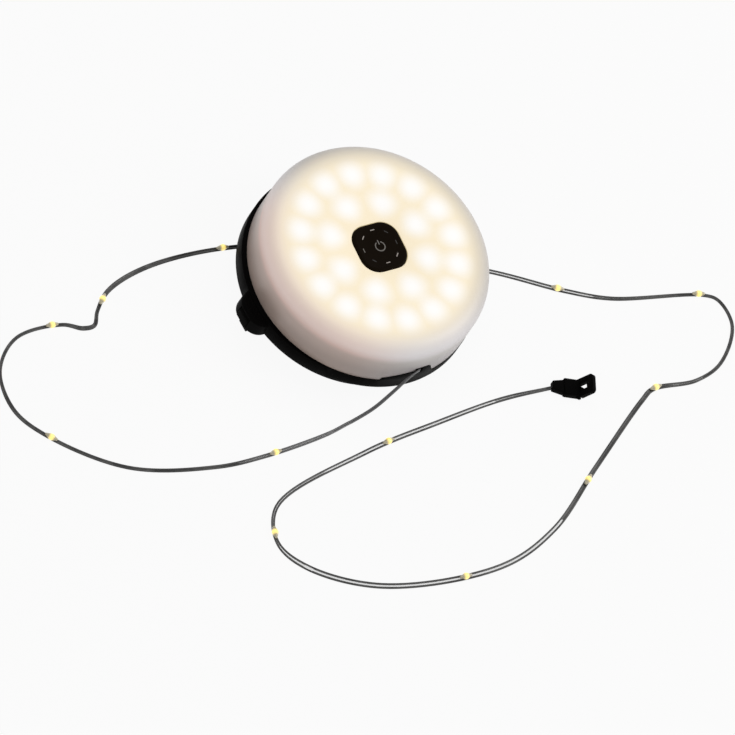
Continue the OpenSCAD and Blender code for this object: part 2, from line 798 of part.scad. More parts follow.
module lead_run(x, y0, y1) {
    translate([x, y0, lead_z]) rotate([-90, 0, 0]) cylinder(r = lead_r, h = y1 - y0);
    translate([x, y1, lead_z]) sphere(lead_r);
    translate([x, y1, 0]) disc(lead_r, control_z + control_t, lead_z);
}

module battery_leads() color("firebrick")
    for (x = [-1, 1]) {
        lead_run(x * lead_x, holder_w / 2 - holder_wall, lead_far_y);
        translate([x * 3, control_r - 1.8, 0]) disc(lead_r, usb_board_z + usb_board_t, control_z);
    }

// ---------- control board and reel contacts ----------

module control_board() color("#2f6b3f")
    arc_bar(control_in_r, control_r, control_from, control_to, control_z,
        control_z + control_t);

module board_parts() color("#2a2a2c") {
    for (a = [76, 104]) rotate([0, 0, a])
        translate([control_r - 8, 0, control_z + control_t + 0.75]) cube([5, 6, 1.5], center = true);
    rotate([0, 0, 90]) translate([control_r - 6, 0, control_z + control_t + 1])
        cube([4, 4, 2], center = true);
    for (a = [70, 110]) rotate([0, 0, a])
        translate([control_in_r + 5, 0, control_z + control_t + 0.6]) cube([2.4, 3.6, 1.2], center = true);
}

module brush(r, turn)
    rotate([0, 0, turn]) translate([r, 0, control_z - brush_h / 2])
        cube([slip_w * 0.8, 4, brush_h], center = true);

module brushes() color("goldenrod") {
    brush(slip_a_r, brush_a_turn);
    brush(slip_b_r, brush_b_turn);
}

module slip_rings() color("goldenrod")
    for (r = [slip_a_r, slip_b_r])
        ring(r - slip_w / 2, r + slip_w / 2, drum_top, drum_top + slip_t);

// ---------- reel ----------

module reel_drum() color("#d9d9d6") difference() {
    union() {
        disc(pack_in_r, drum_z, drum_floor_z);
        ring(drum_in_r, pack_in_r, drum_z, drum_top);
        ring(pack_in_r - 0.5, flange_r, pack_z - flange_t, pack_z);
        ring(pack_in_r - 0.5, flange_r, drum_top - flange_t, drum_top);
    }
    translate([0, 0, drum_z + drum_wall / 2])
        cube([key_w + face_gap, key_w + face_gap, drum_wall + 2 * eps], center = true);
}

module wound_string() color(silver) ring(pack_in_r, pack_r, pack_z, pack_z + pack_h);

module reel_bush() color("goldenrod") {
    ring(neck_r + shaft_gap, bush_r, rear_z, floor_z + bush_flange_t);
    ring(neck_r + shaft_gap, bush_flange_r, floor_z, floor_z + bush_flange_t);
}

module winding_dial() color(black) difference() {
    union() {
        disc(dial_r, dial_z, dial_z + dial_t);
        disc(neck_r, dial_z, drum_z);
        translate([0, 0, (drum_z + drum_floor_z) / 2 - 0.5])
            cube([key_w, key_w, drum_wall + 1], center = true);
    }
    slab([knob_far_x - move_gap, slot_end_x], [-slot_w / 2, slot_w / 2],
        [dial_z - eps, dial_z + slot_h]);
    translate([scoop_x, 0, 0]) disc(scoop_r, dial_z - eps, dial_z + scoop_depth);
    for (i = [0:scallops - 1]) rotate([0, 0, i * 360 / scallops])
        translate([dial_r + 0.8, 0, 0]) disc(scallop_r, dial_z - eps, dial_z + dial_t + eps);
    translate([knob_hinge_x, 0, knob_hinge_z]) rotate([90, 0, 0])
        cylinder(r = knob_pin_r, h = knob_w + 5, center = true);
    disc(dial_screw_r + 0.05, dial_z + slot_h + 0.5, drum_floor_z + eps);
}

module dial_screw() color(steel) {
    disc(dial_head_r, drum_floor_z, drum_floor_z + dial_head_h);
    disc(dial_screw_r, dial_z + slot_h + 0.5, drum_floor_z + eps);
}

module crank_knob() color("#2c2c2f") difference() {
    union() {
        slab([knob_far_x, knob_hinge_x], [-knob_w / 2, knob_w / 2], [knob_z, knob_z + knob_t]);
        translate([knob_hinge_x, 0, knob_hinge_z]) rotate([90, 0, 0])
            cylinder(r = knob_t / 2, h = knob_w, center = true);
    }
    translate([knob_hinge_x, 0, knob_hinge_z]) rotate([90, 0, 0])
        cylinder(r = knob_pin_r + shaft_gap, h = knob_w + 2 * eps, center = true);
}

module crank_pin() color(steel)
    translate([knob_hinge_x, 0, knob_hinge_z]) rotate([90, 0, 0])
        cylinder(r = knob_pin_r, h = knob_w + 5, center = true);

// ---------- rear cover ----------

rear_edge_r = band_r - band_round - 0.1;
rear_plug_r = spigot_in_r + 0.8;
bowl_r = ((rear_edge_r - rear_flat_r) ^ 2 + rear_h ^ 2) / (2 * rear_h);

module bowl_section(wall)
    intersection() {
        union() {
            translate([0, wall]) square([rear_flat_r, rear_h + 3]);
            translate([rear_flat_r, bowl_r]) circle(bowl_r - wall);
        }
        square([rear_edge_r, rear_h]);
    }

module rear_posts() intersection() {
    at_bosses() disc(boss_r, floor_z, boss_z);
    translate([0, 0, rear_z]) rotate_extrude() {
        bowl_section(0);
        square([rear_flat_r, rear_h + 3]);
        translate([0, rear_h - 0.5]) square([rear_edge_r, 3.5]);
    }
}

module foot_set(z0, z1, gap = 0)
    for (a = [[203, 365], [38, 108], [148, 166]])
        arc_bar(foot_in_r - gap, foot_in_r + foot_w + gap, a[0] - gap, a[1] + gap, z0, z1);

module rear_cover() color(black) difference() {
    union() {
        translate([0, 0, rear_z]) rotate_extrude() difference() {
            bowl_section(0);
            bowl_section(rear_wall);
        }
        ring(rear_plug_r - 1.8, rear_plug_r, band_z - 1.5, boss_z - 0.3);
        rear_posts();
    }
    disc(bush_r, rear_z - eps, floor_z + eps);
    foot_set(rear_z - eps, rear_z + foot_seat, 0.05);
    at_bosses() {
        disc(head_r + 0.2, rear_z - eps, boss_z - 4);
        disc(screw_r + 0.2, rear_z, boss_z + eps);
    }
}

module rear_feet() color("#303033") foot_set(0, rear_z + foot_seat);

module rear_screws() color(steel) at_bosses() {
    disc(head_r, boss_z - 4 - head_h, boss_z - 4);
    disc(screw_r, boss_z - 4 - head_h / 2, boss_z + screw_l);
}

// ---------- hanging hook ----------

module hanging_hook() color(black) rotate([0, 0, hook_turn]) difference() {
    union() {
        translate([hook_x, 0, hook_z]) rotate([90, 0, 0])
            cylinder(r = knuckle_r, h = knuckle_w, center = true);
        intersection() {
            translate([0, 0, lug_z]) rotate([90, 0, 0])
                linear_extrude(knuckle_w, center = true)
                    edge_section(lug_reach, lug_h, lug_edge, lug_edge);
            slab([hook_x - 3.8, lug_reach + 1], [-knuckle_w, knuckle_w], [lug_z - 1, hook_z]);
        }
        slab([hook_x - 3.8, hook_x - 0.8], [-arm_half_w, arm_half_w], [arm_z, hook_z]);
        slab([ring_x + ring_r - 2, hook_x - 0.8], [-arm_half_w, arm_half_w],
            [arm_z, arm_z + hook_t]);
        translate([ring_x, 0, 0]) disc(ring_r, arm_z, arm_z + hook_t);
    }
    translate([ring_x, 0, 0]) {
        disc(ring_in_r, arm_z - eps, arm_z + hook_t + eps);
        rotate([0, 0, gate_turn])
            slab([0, ring_r + eps], [-gate_w / 2, gate_w / 2], [arm_z - eps, arm_z + hook_t + eps]);
    }
    translate([hook_x, 0, hook_z]) rotate([90, 0, 0])
        cylinder(r = hook_pin_r + shaft_gap, h = knuckle_w + 2 * eps, center = true);
}

module hook_pin() color(steel) rotate([0, 0, hook_turn])
    translate([hook_x, hook_pin_in, hook_z]) rotate([90, 0, 0])
        cylinder(r = hook_pin_r, h = hook_pin_l);

// ---------- charging port ----------

module usb_board() color("#2f6b3f")
    slab([-10, 10], [usb_board_y[0], usb_board_y[1]], [usb_board_z, usb_board_z + usb_board_t]);

module usb_socket() color(steel) difference() {
    slab([-usb_w / 2, usb_w / 2], usb_socket_y, [usb_z - usb_h / 2, usb_z + usb_h / 2]);
    slab([0.4 - usb_w / 2, usb_w / 2 - 0.4], [usb_socket_y[0] + 1.5, usb_socket_y[1] + eps],
        [usb_z - usb_h / 2 + 0.4, usb_z + usb_h / 2 - 0.4]);
}

module usb_cover() color("#242427") difference() {
    union() {
        slab(cover_x, [cover_y - cover_t / 2, cover_y + cover_t / 2],
            [usb_z - cover_half_h, usb_z + cover_half_h]);
        translate([cover_x[0], cover_y, 0])
            disc(barrel_r, usb_z - cover_half_h, usb_z + cover_half_h);
    }
    translate([cover_x[0], cover_y, 0])
        disc(cover_pin_r + shaft_gap, usb_z - cover_half_h - eps, usb_z + cover_half_h + eps);
}

module cover_pin() color(steel) translate([cover_x[0], cover_y, 0])
    disc(cover_pin_r, usb_z - cover_half_h - 1.2, usb_z + cover_half_h + 0.8);

diffuser();
button_cap();
indicator_marks();
power_symbol();
button_housing();
button_seal();
tact_switch();
led_board();
board_leds();
led_tray();
tray_screws();
seal_ring();
base_shell();
string_guide();
string_lead();
string_wire();
string_leds();
end_hook();
battery_cells();
battery_holder();
battery_contacts();
battery_leads();
control_board();
board_parts();
brushes();
slip_rings();
reel_drum();
wound_string();
reel_bush();
winding_dial();
dial_screw();
crank_knob();
crank_pin();
rear_cover();
rear_feet();
rear_screws();
hanging_hook();
hook_pin();
usb_board();
usb_socket();
usb_cover();
cover_pin();
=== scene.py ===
"""Dresses a round table lamp with its wind-up light string.

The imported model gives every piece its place, in metres, with the table at z = 0 and the lamp's
axis on Z. This script models the pieces that show, gives each one its finish, and sets the lights
and the camera.
"""

import json
import logging
import math
from dataclasses import dataclass, field
from enum import Enum
from typing import Callable, Sequence

import bmesh
import bpy
from mathutils import Matrix, Vector


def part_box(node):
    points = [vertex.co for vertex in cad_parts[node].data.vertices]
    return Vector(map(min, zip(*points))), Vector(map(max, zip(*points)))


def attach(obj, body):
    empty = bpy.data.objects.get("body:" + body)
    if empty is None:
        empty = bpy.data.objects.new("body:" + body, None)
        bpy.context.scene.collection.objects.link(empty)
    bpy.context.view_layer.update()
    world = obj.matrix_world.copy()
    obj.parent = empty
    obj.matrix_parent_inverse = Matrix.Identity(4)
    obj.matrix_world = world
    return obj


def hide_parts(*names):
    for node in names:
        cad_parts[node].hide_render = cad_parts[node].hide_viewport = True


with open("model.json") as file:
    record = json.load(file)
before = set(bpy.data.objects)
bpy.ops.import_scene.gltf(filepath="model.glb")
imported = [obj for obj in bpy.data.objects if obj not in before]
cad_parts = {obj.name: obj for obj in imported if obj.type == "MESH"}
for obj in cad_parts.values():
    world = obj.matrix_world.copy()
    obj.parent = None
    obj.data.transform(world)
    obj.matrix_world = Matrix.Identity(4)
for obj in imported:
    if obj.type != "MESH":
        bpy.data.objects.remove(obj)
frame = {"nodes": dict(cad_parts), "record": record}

MM = 0.001
TINY = 1e-6  # shorter than anything that is modelled
LOG = logging.getLogger("lamp")
Point = tuple[float, float, float]
Colour = tuple[float, float, float]
Finishes = dict[str, bpy.types.Material]


class Pick(Enum):
    """What an edit acts on."""

    VERTS = "VERT"
    EDGES = "EDGE"
    FACES = "FACE"


class Body(Enum):
    """The rigid bodies of the lamp."""

    HOUSING = "housing"
    BUTTON = "button"
    REEL = "reel"
    KNOB = "knob"
    HOOK = "hook"
    COVER = "cover"


# ---------------------------------------------------------------- work on meshes


def select_only(piece: bpy.types.Object) -> None:
    """Selects one object and makes it the active one.

    Args:
        piece: The object to work on.
    """
    bpy.ops.object.select_all(action="DESELECT")
    piece.select_set(True)
    bpy.context.view_layer.objects.active = piece


def edit(piece: bpy.types.Object, kind: Pick, test: Callable[[object], bool]) -> None:
    """Opens a mesh for editing with only the elements that pass a test selected.

    Args:
        piece: The mesh object.
        kind: Whether vertices, edges or faces are tested.
        test: Says of one bmesh element whether it is selected.
    """
    select_only(piece)
    bpy.ops.object.mode_set(mode="EDIT")
    bpy.ops.mesh.select_mode(type=kind.value)
    bpy.ops.mesh.select_all(action="DESELECT")
    mesh = bmesh.from_edit_mesh(piece.data)
    elements = {Pick.VERTS: mesh.verts, Pick.EDGES: mesh.edges, Pick.FACES: mesh.faces}[kind]
    for element in filter(test, elements):
        element.select_set(True)
    mesh.select_flush_mode()
    bmesh.update_edit_mesh(piece.data)


def close_edit() -> None:
    """Leaves edit mode."""
    bpy.ops.object.mode_set(mode="OBJECT")


def apply_modifier(piece: bpy.types.Object, kind: str, **settings: object) -> None:
    """Adds a modifier, sets it up and applies it.

    Args:
        piece: The mesh object.
        kind: The modifier's type, such as BEVEL.
        **settings: The modifier's own properties.
    """
    modifier = piece.modifiers.new(kind.title(), kind)
    for name, value in settings.items():
        setattr(modifier, name, value)
    select_only(piece)
    bpy.ops.object.modifier_apply(modifier=modifier.name)


def settle(piece: bpy.types.Object) -> None:
    """Puts an object's place, turn and size into its mesh.

    Args:
        piece: The mesh object.
    """
    select_only(piece)
    bpy.ops.object.transform_apply(location=True, rotation=True, scale=True)


def smooth(piece: bpy.types.Object, degrees: float = 30) -> None:
    """Shades a mesh smooth up to an angle.

    Args:
        piece: The mesh object.
        degrees: The steepest angle between faces that still looks smooth.
    """
    select_only(piece)
    bpy.ops.object.shade_smooth_by_angle(angle=math.radians(degrees))


def soften(piece: bpy.types.Object, width: float, segments: int = 2, degrees: float = 32) -> None:
    """Rounds the sharp edges of a piece a little, as a mould leaves them.

    Args:
        piece: The mesh object.
        width: The width of the rounding, in metres.
        segments: How many faces it has across.
        degrees: The least angle of an edge that is rounded.
    """
    apply_modifier(
        piece, "BEVEL", width=width, segments=segments, limit_method="ANGLE",
        angle_limit=math.radians(degrees), use_clamp_overlap=True, miter_outer="MITER_ARC",
    )
    smooth(piece)


def cut(piece: bpy.types.Object, cutter: bpy.types.Object) -> None:
    """Takes one solid out of another and removes the cutter.

    Args:
        piece: The solid that stays.
        cutter: The solid to take out.
    """
    apply_modifier(piece, "BOOLEAN", operation="DIFFERENCE", solver="EXACT", object=cutter)
    bpy.data.objects.remove(cutter)


def turn_and_move(piece: bpy.types.Object, turn: float, axis: str = "Z",
                  offset: Sequence[float] = (0, 0, 0)) -> None:
    """Turns a mesh round an axis through the origin and then moves it.

    Args:
        piece: The mesh object.
        turn: The turn, in radians.
        axis: The axis, X, Y or Z.
        offset: How far it is moved, in metres.
    """
    piece.data.transform(Matrix.Rotation(turn, 4, axis))
    piece.data.transform(Matrix.Translation(offset))


def add_object(name: str, data: bpy.types.ID) -> bpy.types.Object:
    """Puts a mesh, a light or a camera into the scene.

    Args:
        name: The object's name.
        data: The mesh, light or camera.

    Returns:
        The new object.
    """
    made = bpy.data.objects.new(name, data)
    bpy.context.scene.collection.objects.link(made)
    return made


def name_new(name: str) -> bpy.types.Object:
    """Names the shape that was just added, and puts its place and size into its mesh.

    Args:
        name: The object's name.

    Returns:
        The object.
    """
    shape = bpy.context.object
    shape.name = name
    settle(shape)
    return shape


def add_block(name: str, low: Point, high: Point) -> bpy.types.Object:
    """Adds a block between two corners.

    Args:
        name: The object's name.
        low: Its lowest corner, in metres.
        high: Its highest corner, in metres.

    Returns:
        The new object, with its place in its mesh.
    """
    size = [h - l for l, h in zip(low, high)]
    middle = [(l + h) / 2 for l, h in zip(low, high)]
    bpy.ops.mesh.primitive_cube_add(size=1, location=middle, scale=size)
    return name_new(name)


def add_round(name: str, radius: float, low: float, high: float, sides: int = 128,
              centre: tuple[float, float] = (0, 0)) -> bpy.types.Object:
    """Adds an upright cylinder.

    Args:
        name: The object's name.
        radius: Its radius, in metres.
        low: The height of its lower face.
        high: The height of its upper face.
        sides: How many sides it has.
        centre: The place of its axis.

    Returns:
        The new object, with its place in its mesh.
    """
    bpy.ops.mesh.primitive_cylinder_add(
        vertices=sides, radius=radius, depth=high - low, location=(*centre, (low + high) / 2))
    return name_new(name)


def upright(edge: bmesh.types.BMEdge) -> bool:
    """Says whether an edge climbs, as the corners of a block do."""
    return abs(edge.verts[0].co.z - edge.verts[1].co.z) > TINY


def rim_at(height: float) -> Callable[[bmesh.types.BMEdge], bool]:
    """Makes the test for edges at a height or above it, such as an upper rim."""
    return lambda edge: all(vert.co.z > height - 10 * TINY for vert in edge.verts)


def bevel_edges(piece: bpy.types.Object, test: Callable[[bmesh.types.BMEdge], bool], width: float,
                segments: int) -> None:
    """Rounds chosen edges.

    Args:
        piece: The mesh object.
        test: Says of one edge whether it is rounded.
        width: The radius of the rounding, in metres.
        segments: How many faces it has across.
    """
    edit(piece, Pick.EDGES, test)
    bpy.ops.mesh.bevel(offset=width, offset_type="OFFSET", segments=segments, affect="EDGES")
    close_edit()


def add_round_square(name: str, width: float, corner: float, low: float, high: float,
                     segments: int = 14) -> bpy.types.Object:
    """Adds an upright prism, square with round corners, on the lamp's axis.

    Args:
        name: The object's name.
        width: Its width across the flats, in metres.
        corner: The radius of its corners.
        low: The height of its lower face.
        high: The height of its upper face.
        segments: How many faces each corner has.

    Returns:
        The new object.
    """
    half = width / 2
    prism = add_block(name, (-half, -half, low), (half, half, high))
    bevel_edges(prism, upright, corner, segments)
    return prism


def join(pieces: Sequence[bpy.types.Object], name: str) -> bpy.types.Object:
    """Joins objects into one.

    Args:
        pieces: The objects to join.
        name: The name of the result.

    Returns:
        The joined object.
    """
    bpy.ops.object.select_all(action="DESELECT")
    for piece in pieces:
        piece.select_set(True)
    bpy.context.view_layer.objects.active = pieces[0]
    if len(pieces) > 1:
        bpy.ops.object.join()
    pieces[0].name = name
    return pieces[0]


def node_copy(node: str, name: str) -> bpy.types.Object:
    """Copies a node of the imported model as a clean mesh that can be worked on.

    Args:
        node: The node's name.
        name: The name of the copy.

    Returns:
        The copy, with its points merged and its flat faces whole.
    """
    copy = add_object(name, frame["nodes"][node].data.copy())
    select_only(copy)
    bpy.ops.mesh.customdata_custom_splitnormals_clear()
    edit(copy, Pick.VERTS, lambda v: True)
    bpy.ops.mesh.remove_doubles(threshold=2e-6)
    bpy.ops.mesh.select_all(action="SELECT")
    bpy.ops.mesh.dissolve_limited(angle_limit=math.radians(0.4))
    close_edit()
    return copy


def place(piece: bpy.types.Object, body: Body, slot: str, material: bpy.types.Material,
          *nodes: str) -> bpy.types.Object:
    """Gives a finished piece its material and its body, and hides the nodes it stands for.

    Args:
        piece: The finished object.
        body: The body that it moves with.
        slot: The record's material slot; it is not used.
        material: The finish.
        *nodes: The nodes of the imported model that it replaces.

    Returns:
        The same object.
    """
    piece.data.materials.clear()
    piece.data.materials.append(material)
    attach(piece, body.value)
    for node in nodes:
        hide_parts(node)
    LOG.info("%s rides on %s", piece.name, body.value)
    return piece


# ---------------------------------------------------------------- finishes


def socket(group: bpy.types.NodeTree, name: str, kind: str, output: bool = False,
           value: float | None = None) -> None:
    """Adds a socket to a node group.

    Args:
        group: The node group.
        name: The socket's name.
        kind: Float, Color or Vector.
        output: Whether it is an output.
        value: The default value of a float input.
    """
    made = group.interface.new_socket(
        name, in_out="OUTPUT" if output else "INPUT", socket_type=f"NodeSocket{kind}")
    if value is not None:
        made.default_value = value


@dataclass
class Nodes:
    """A node tree with short ways to add and join nodes."""

    tree: bpy.types.NodeTree

    def add(self, kind: str, **settings: object) -> bpy.types.Node:
        """Adds a node.

        Args:
            kind: The node's type, without the ShaderNode in front.
            **settings: The node's own properties.

        Returns:
            The new node.
        """
        prefix = "" if kind.startswith("NodeGroup") else "ShaderNode"
        node = self.tree.nodes.new(prefix + kind)
        for name, value in settings.items():
            setattr(node, name, value)
        return node

    def group(self, name: str) -> bpy.types.Node:
        """Adds one of the shared groups.

        Args:
            name: Its name in GROUPS.

        Returns:
            The group's node.
        """
        return self.add("Group", node_tree=GROUPS[name])

    def link(self, source: object, target: object) -> None:
        """Joins an output to an input, or sets the input when the source is a plain value.

        Args:
            source: An output socket or a value.
            target: The input socket.
        """
        if isinstance(source, bpy.types.NodeSocket):
            self.tree.links.new(source, target)
        else:
            target.default_value = source

    def math(self, operation: str, *inputs: object) -> bpy.types.NodeSocket:
        """Adds a math node.

        Args:
            operation: The operation's name.
            *inputs: Sockets or numbers.

        Returns:
            The result's socket.
        """
        node = self.add("Math", operation=operation)
        for source, target in zip(inputs, node.inputs):
            self.link(source, target)
        return node.outputs[0]

    def length(self, first: object, second: object) -> bpy.types.NodeSocket:
        """Gives the length of the diagonal between two lengths at a right angle.

        Args:
            first: One length's socket.
            second: The other's.

        Returns:
            The result's socket.
        """
        squares = [self.math("MULTIPLY", side, side) for side in (first, second)]
        return self.math("SQRT", self.math("ADD", *squares))

    def ramp(self, source: object, low: float, high: float, start: float = 0,
             end: float = 1) -> bpy.types.NodeSocket:
        """Maps a value smoothly from one range to another.

        Args:
            source: The socket with the value.
            low: The value at which the result is start.
            high: The value at which the result is end.
            start: The first result.
            end: The last result.

        Returns:
            The result's socket.
        """
        node = self.add("MapRange", interpolation_type="SMOOTHSTEP")
        for value, name in zip((source, low, high, start, end),
                               ("Value", "From Min", "From Max", "To Min", "To Max")):
            self.link(value, node.inputs[name])
        return node.outputs["Result"]

    def mix(self, factor: object, first: object, second: object) -> bpy.types.NodeSocket:
        """Mixes two colours.

        Args:
            factor: The share of the second.
            first: A colour or its socket.
            second: A colour or its socket.

        Returns:
            The mixed colour's socket.
        """
        node = self.add("Mix", data_type="RGBA")
        for value, index in zip((factor, first, second), (0, 6, 7)):
            if isinstance(value, tuple):
                value = (*value, 1) if len(value) == 3 else value
            self.link(value, node.inputs[index])
        return node.outputs[2]


def new_group(name: str) -> tuple[bpy.types.NodeTree, Nodes]:
    """Makes an empty node group.

    Args:
        name: The group's name.

    Returns:
        The group and the helper that fills it.
    """
    group = bpy.data.node_groups.new(name, "ShaderNodeTree")
    return group, Nodes(group)


def moulded_grain_group() -> bpy.types.NodeTree:
    """Makes the fine surface of moulded plastic and rubber.

    Returns:
        A group that puts out a mask of cloudy variation, a roughness and a bumped normal.
    """
    group, nodes = new_group("Moulded grain")
    for name, value in (("Scale", 900.0), ("Depth", 0.2), ("Roughness", 0.5), ("Spread", 0.1)):
        socket(group, name, "Float", value=value)
    for name, kind in (("Mask", "Float"), ("Roughness", "Float"), ("Normal", "Vector")):
        socket(group, name, kind, output=True)
    given = nodes.add("NodeGroupInput")
    out = nodes.add("NodeGroupOutput")
    place_of = nodes.add("TexCoord").outputs["Object"]
    fine = nodes.add("TexNoise")
    nodes.link(place_of, fine.inputs["Vector"])
    nodes.link(given.outputs["Scale"], fine.inputs["Scale"])
    fine.inputs["Detail"].default_value = 3
    cloud = nodes.add("TexNoise")
    nodes.link(place_of, cloud.inputs["Vector"])
    cloud.inputs["Scale"].default_value = 45
    cloud.inputs["Detail"].default_value = 5
    bump = nodes.add("Bump")
    bump.inputs["Distance"].default_value = 0.0002
    nodes.link(given.outputs["Depth"], bump.inputs["Strength"])
    nodes.link(fine.outputs[0], bump.inputs["Height"])
    centred = nodes.math("SUBTRACT", cloud.outputs[0], 0.5)
    shift = nodes.math("MULTIPLY", centred, given.outputs["Spread"])
    nodes.link(nodes.math("ADD", given.outputs["Roughness"], shift), out.inputs["Roughness"])
    nodes.link(cloud.outputs[0], out.inputs["Mask"])
    nodes.link(bump.outputs[0], out.inputs["Normal"])
    return group


def brushed_group() -> bpy.types.NodeTree:
    """Makes the fine lines of drawn or brushed metal, running round Z.

    Returns:
        A group that puts out a mask of the lines and a bumped normal.
    """
    group, nodes = new_group("Brushed lines")
    socket(group, "Depth", "Float", value=0.15)
    socket(group, "Mask", "Float", output=True)
    socket(group, "Normal", "Vector", output=True)
    given = nodes.add("NodeGroupInput")
    out = nodes.add("NodeGroupOutput")
    stretch = nodes.add("Mapping")
    stretch.inputs["Scale"].default_value = (250, 250, 6000)
    nodes.link(nodes.add("TexCoord").outputs["Object"], stretch.inputs["Vector"])
    lines = nodes.add("TexNoise")
    lines.inputs["Scale"].default_value = 1
    nodes.link(stretch.outputs[0], lines.inputs["Vector"])
    bump = nodes.add("Bump")
    bump.inputs["Distance"].default_value = 0.0001
    nodes.link(given.outputs["Depth"], bump.inputs["Strength"])
    nodes.link(lines.outputs[0], bump.inputs["Height"])
    nodes.link(lines.outputs[0], out.inputs["Mask"])
    nodes.link(bump.outputs[0], out.inputs["Normal"])
    return group


@dataclass(frozen=True)
class LampRing:
    """A ring of lamps: their number, its radius in metres and the first lamp's turn in degrees."""

    count: int
    radius: float
    first: float


@dataclass(frozen=True)
class SideMask:
    """A share that grows towards one side: where it faces, in degrees, and its range of cosines."""

    name: str
    facing: float
    start: float
    full: float


LAMP_RINGS = (LampRing(16, 47.8 * MM, -5.7), LampRing(8, 29.6 * MM, 15.3))
SPOT_FADE = (1 * MM, 13 * MM)
# The dome's skirt is given painted shade on the shaded side, and its round shoulder is given
# painted light on the painted light side.
SIDE_MASKS = (SideMask("Warm side", 190, 0.25, 0.85), SideMask("Open side", 213, -0.5, 0.3))


def glow_group() -> bpy.types.NodeTree:
    """Makes the soft spots that lamps behind an opal dome throw on it.

    Returns:
        A group that puts out the spots, the distance from the lamp's axis, the height, and the
        share towards the shaded side and towards the side whose shoulder is given painted light.
    """
    group, nodes = new_group("Glow of the lamps")
    for name in ("Spots", "Distance", "Height", *(mask.name for mask in SIDE_MASKS)):
        socket(group, name, "Float", output=True)
    out = nodes.add("NodeGroupOutput")
    parts = nodes.add("SeparateXYZ")
    nodes.link(nodes.add("TexCoord").outputs["Object"], parts.inputs[0])
    x, y = parts.outputs[0], parts.outputs[1]
    away = nodes.length(x, y)
    turn = nodes.math("ARCTAN2", y, x)
    total: object = 0.0
    for ring in LAMP_RINGS:
        half_step = math.pi / ring.count
        from_first = nodes.math("SUBTRACT", turn, math.radians(ring.first))
        around = nodes.math("WRAP", from_first, half_step, -half_step)
        side = nodes.math("MULTIPLY", around, ring.radius)
        inward = nodes.math("SUBTRACT", away, ring.radius)
        total = nodes.math("ADD", total, nodes.ramp(nodes.length(side, inward), *SPOT_FADE, 1, 0))
    nodes.link(nodes.math("MINIMUM", total, 1.0), out.inputs["Spots"])
    nodes.link(away, out.inputs["Distance"])
    nodes.link(parts.outputs[2], out.inputs["Height"])
    for mask in SIDE_MASKS:
        facing = math.radians(mask.facing)
        along = nodes.math("ADD", nodes.math("MULTIPLY", x, math.cos(facing)),
                           nodes.math("MULTIPLY", y, math.sin(facing)))
        cosine = nodes.math("DIVIDE", along, away)
        nodes.link(nodes.ramp(cosine, mask.start, mask.full), out.inputs[mask.name])
    return group


@dataclass(frozen=True)
class Finish:
    """One surface: its colour, gloss and the fine structure of its face.

    Spread and cloud say how far the roughness and the colour vary, and grain and depth are the
    scale and the strength of the bump. Coat, glow and shine set the shader's coat, light and
    mirroring.
    """

    name: str
    colour: Colour
    roughness: float = 0.5
    spread: float = 0.12
    grain: float = 900
    depth: float = 0.15
    cloud: float = 0.12
    metallic: float = 0.0
    coat: float = 0.0
    glow: float = 0.0
    shine: float = 0.5

    def start(self) -> tuple[bpy.types.Material, Nodes, bpy.types.Node]:
        """Makes the material with its plain values.

        Returns:
            The material, the helper for its nodes and its main shader.
        """
        material = bpy.data.materials.new(self.name)
        material.use_nodes = True
        nodes = Nodes(material.node_tree)
        shader = material.node_tree.nodes["Principled BSDF"]
        shader.inputs["Metallic"].default_value = self.metallic
        shader.inputs["Coat Weight"].default_value = self.coat
        shader.inputs["Specular IOR Level"].default_value = self.shine
        shader.inputs["Coat Roughness"].default_value = 0.15
        return material, nodes, shader

    def moulded(self, nodes: Nodes, shader: bpy.types.Node) -> bpy.types.NodeSocket:
        """Gives a shader the roughness and the fine bump of a moulded face.

        Args:
            nodes: The helper for the material's nodes.
            shader: The material's main shader.

        Returns:
            The mask of the face's cloudy variation.
        """
        grain = nodes.group("grain")
        for name, value in (("Scale", self.grain), ("Depth", self.depth),
                            ("Roughness", self.roughness), ("Spread", self.spread)):
            grain.inputs[name].default_value = value
        nodes.link(grain.outputs["Roughness"], shader.inputs["Roughness"])
        nodes.link(grain.outputs["Normal"], shader.inputs["Normal"])
        return grain.outputs["Mask"]

    def material(self) -> bpy.types.Material:
        """Builds the material.

        Returns:
            A material with cloudy colour, varied roughness and a fine bump.
        """
        material, nodes, shader = self.start()
        dark = tuple(c * (1 - self.cloud) for c in self.colour)
        light = tuple(min(1.0, c * (1 + self.cloud)) for c in self.colour)
        nodes.link(nodes.mix(self.moulded(nodes, shader), dark, light), shader.inputs["Base Color"])
        if self.glow:
            shader.inputs["Emission Color"].default_value = (*self.colour, 1)
            shader.inputs["Emission Strength"].default_value = self.glow
        return material


@dataclass(frozen=True)
class MetalFinish(Finish):
    """Drawn or brushed metal."""

    metallic: float = 1.0
    roughness: float = 0.32

    def material(self) -> bpy.types.Material:
        """Builds the material.

        Returns:
            A metal with fine lines.
        """
        material, nodes, shader = self.start()
        lines = nodes.group("brushed")
        mask = lines.outputs["Mask"]
        dark = tuple(c * 0.85 for c in self.colour)
        rough = nodes.ramp(mask, 0.3, 0.7, self.roughness - 0.06, self.roughness + 0.08)
        nodes.link(nodes.mix(mask, dark, self.colour), shader.inputs["Base Color"])
        nodes.link(rough, shader.inputs["Roughness"])
        nodes.link(lines.outputs["Normal"], shader.inputs["Normal"])
        return material


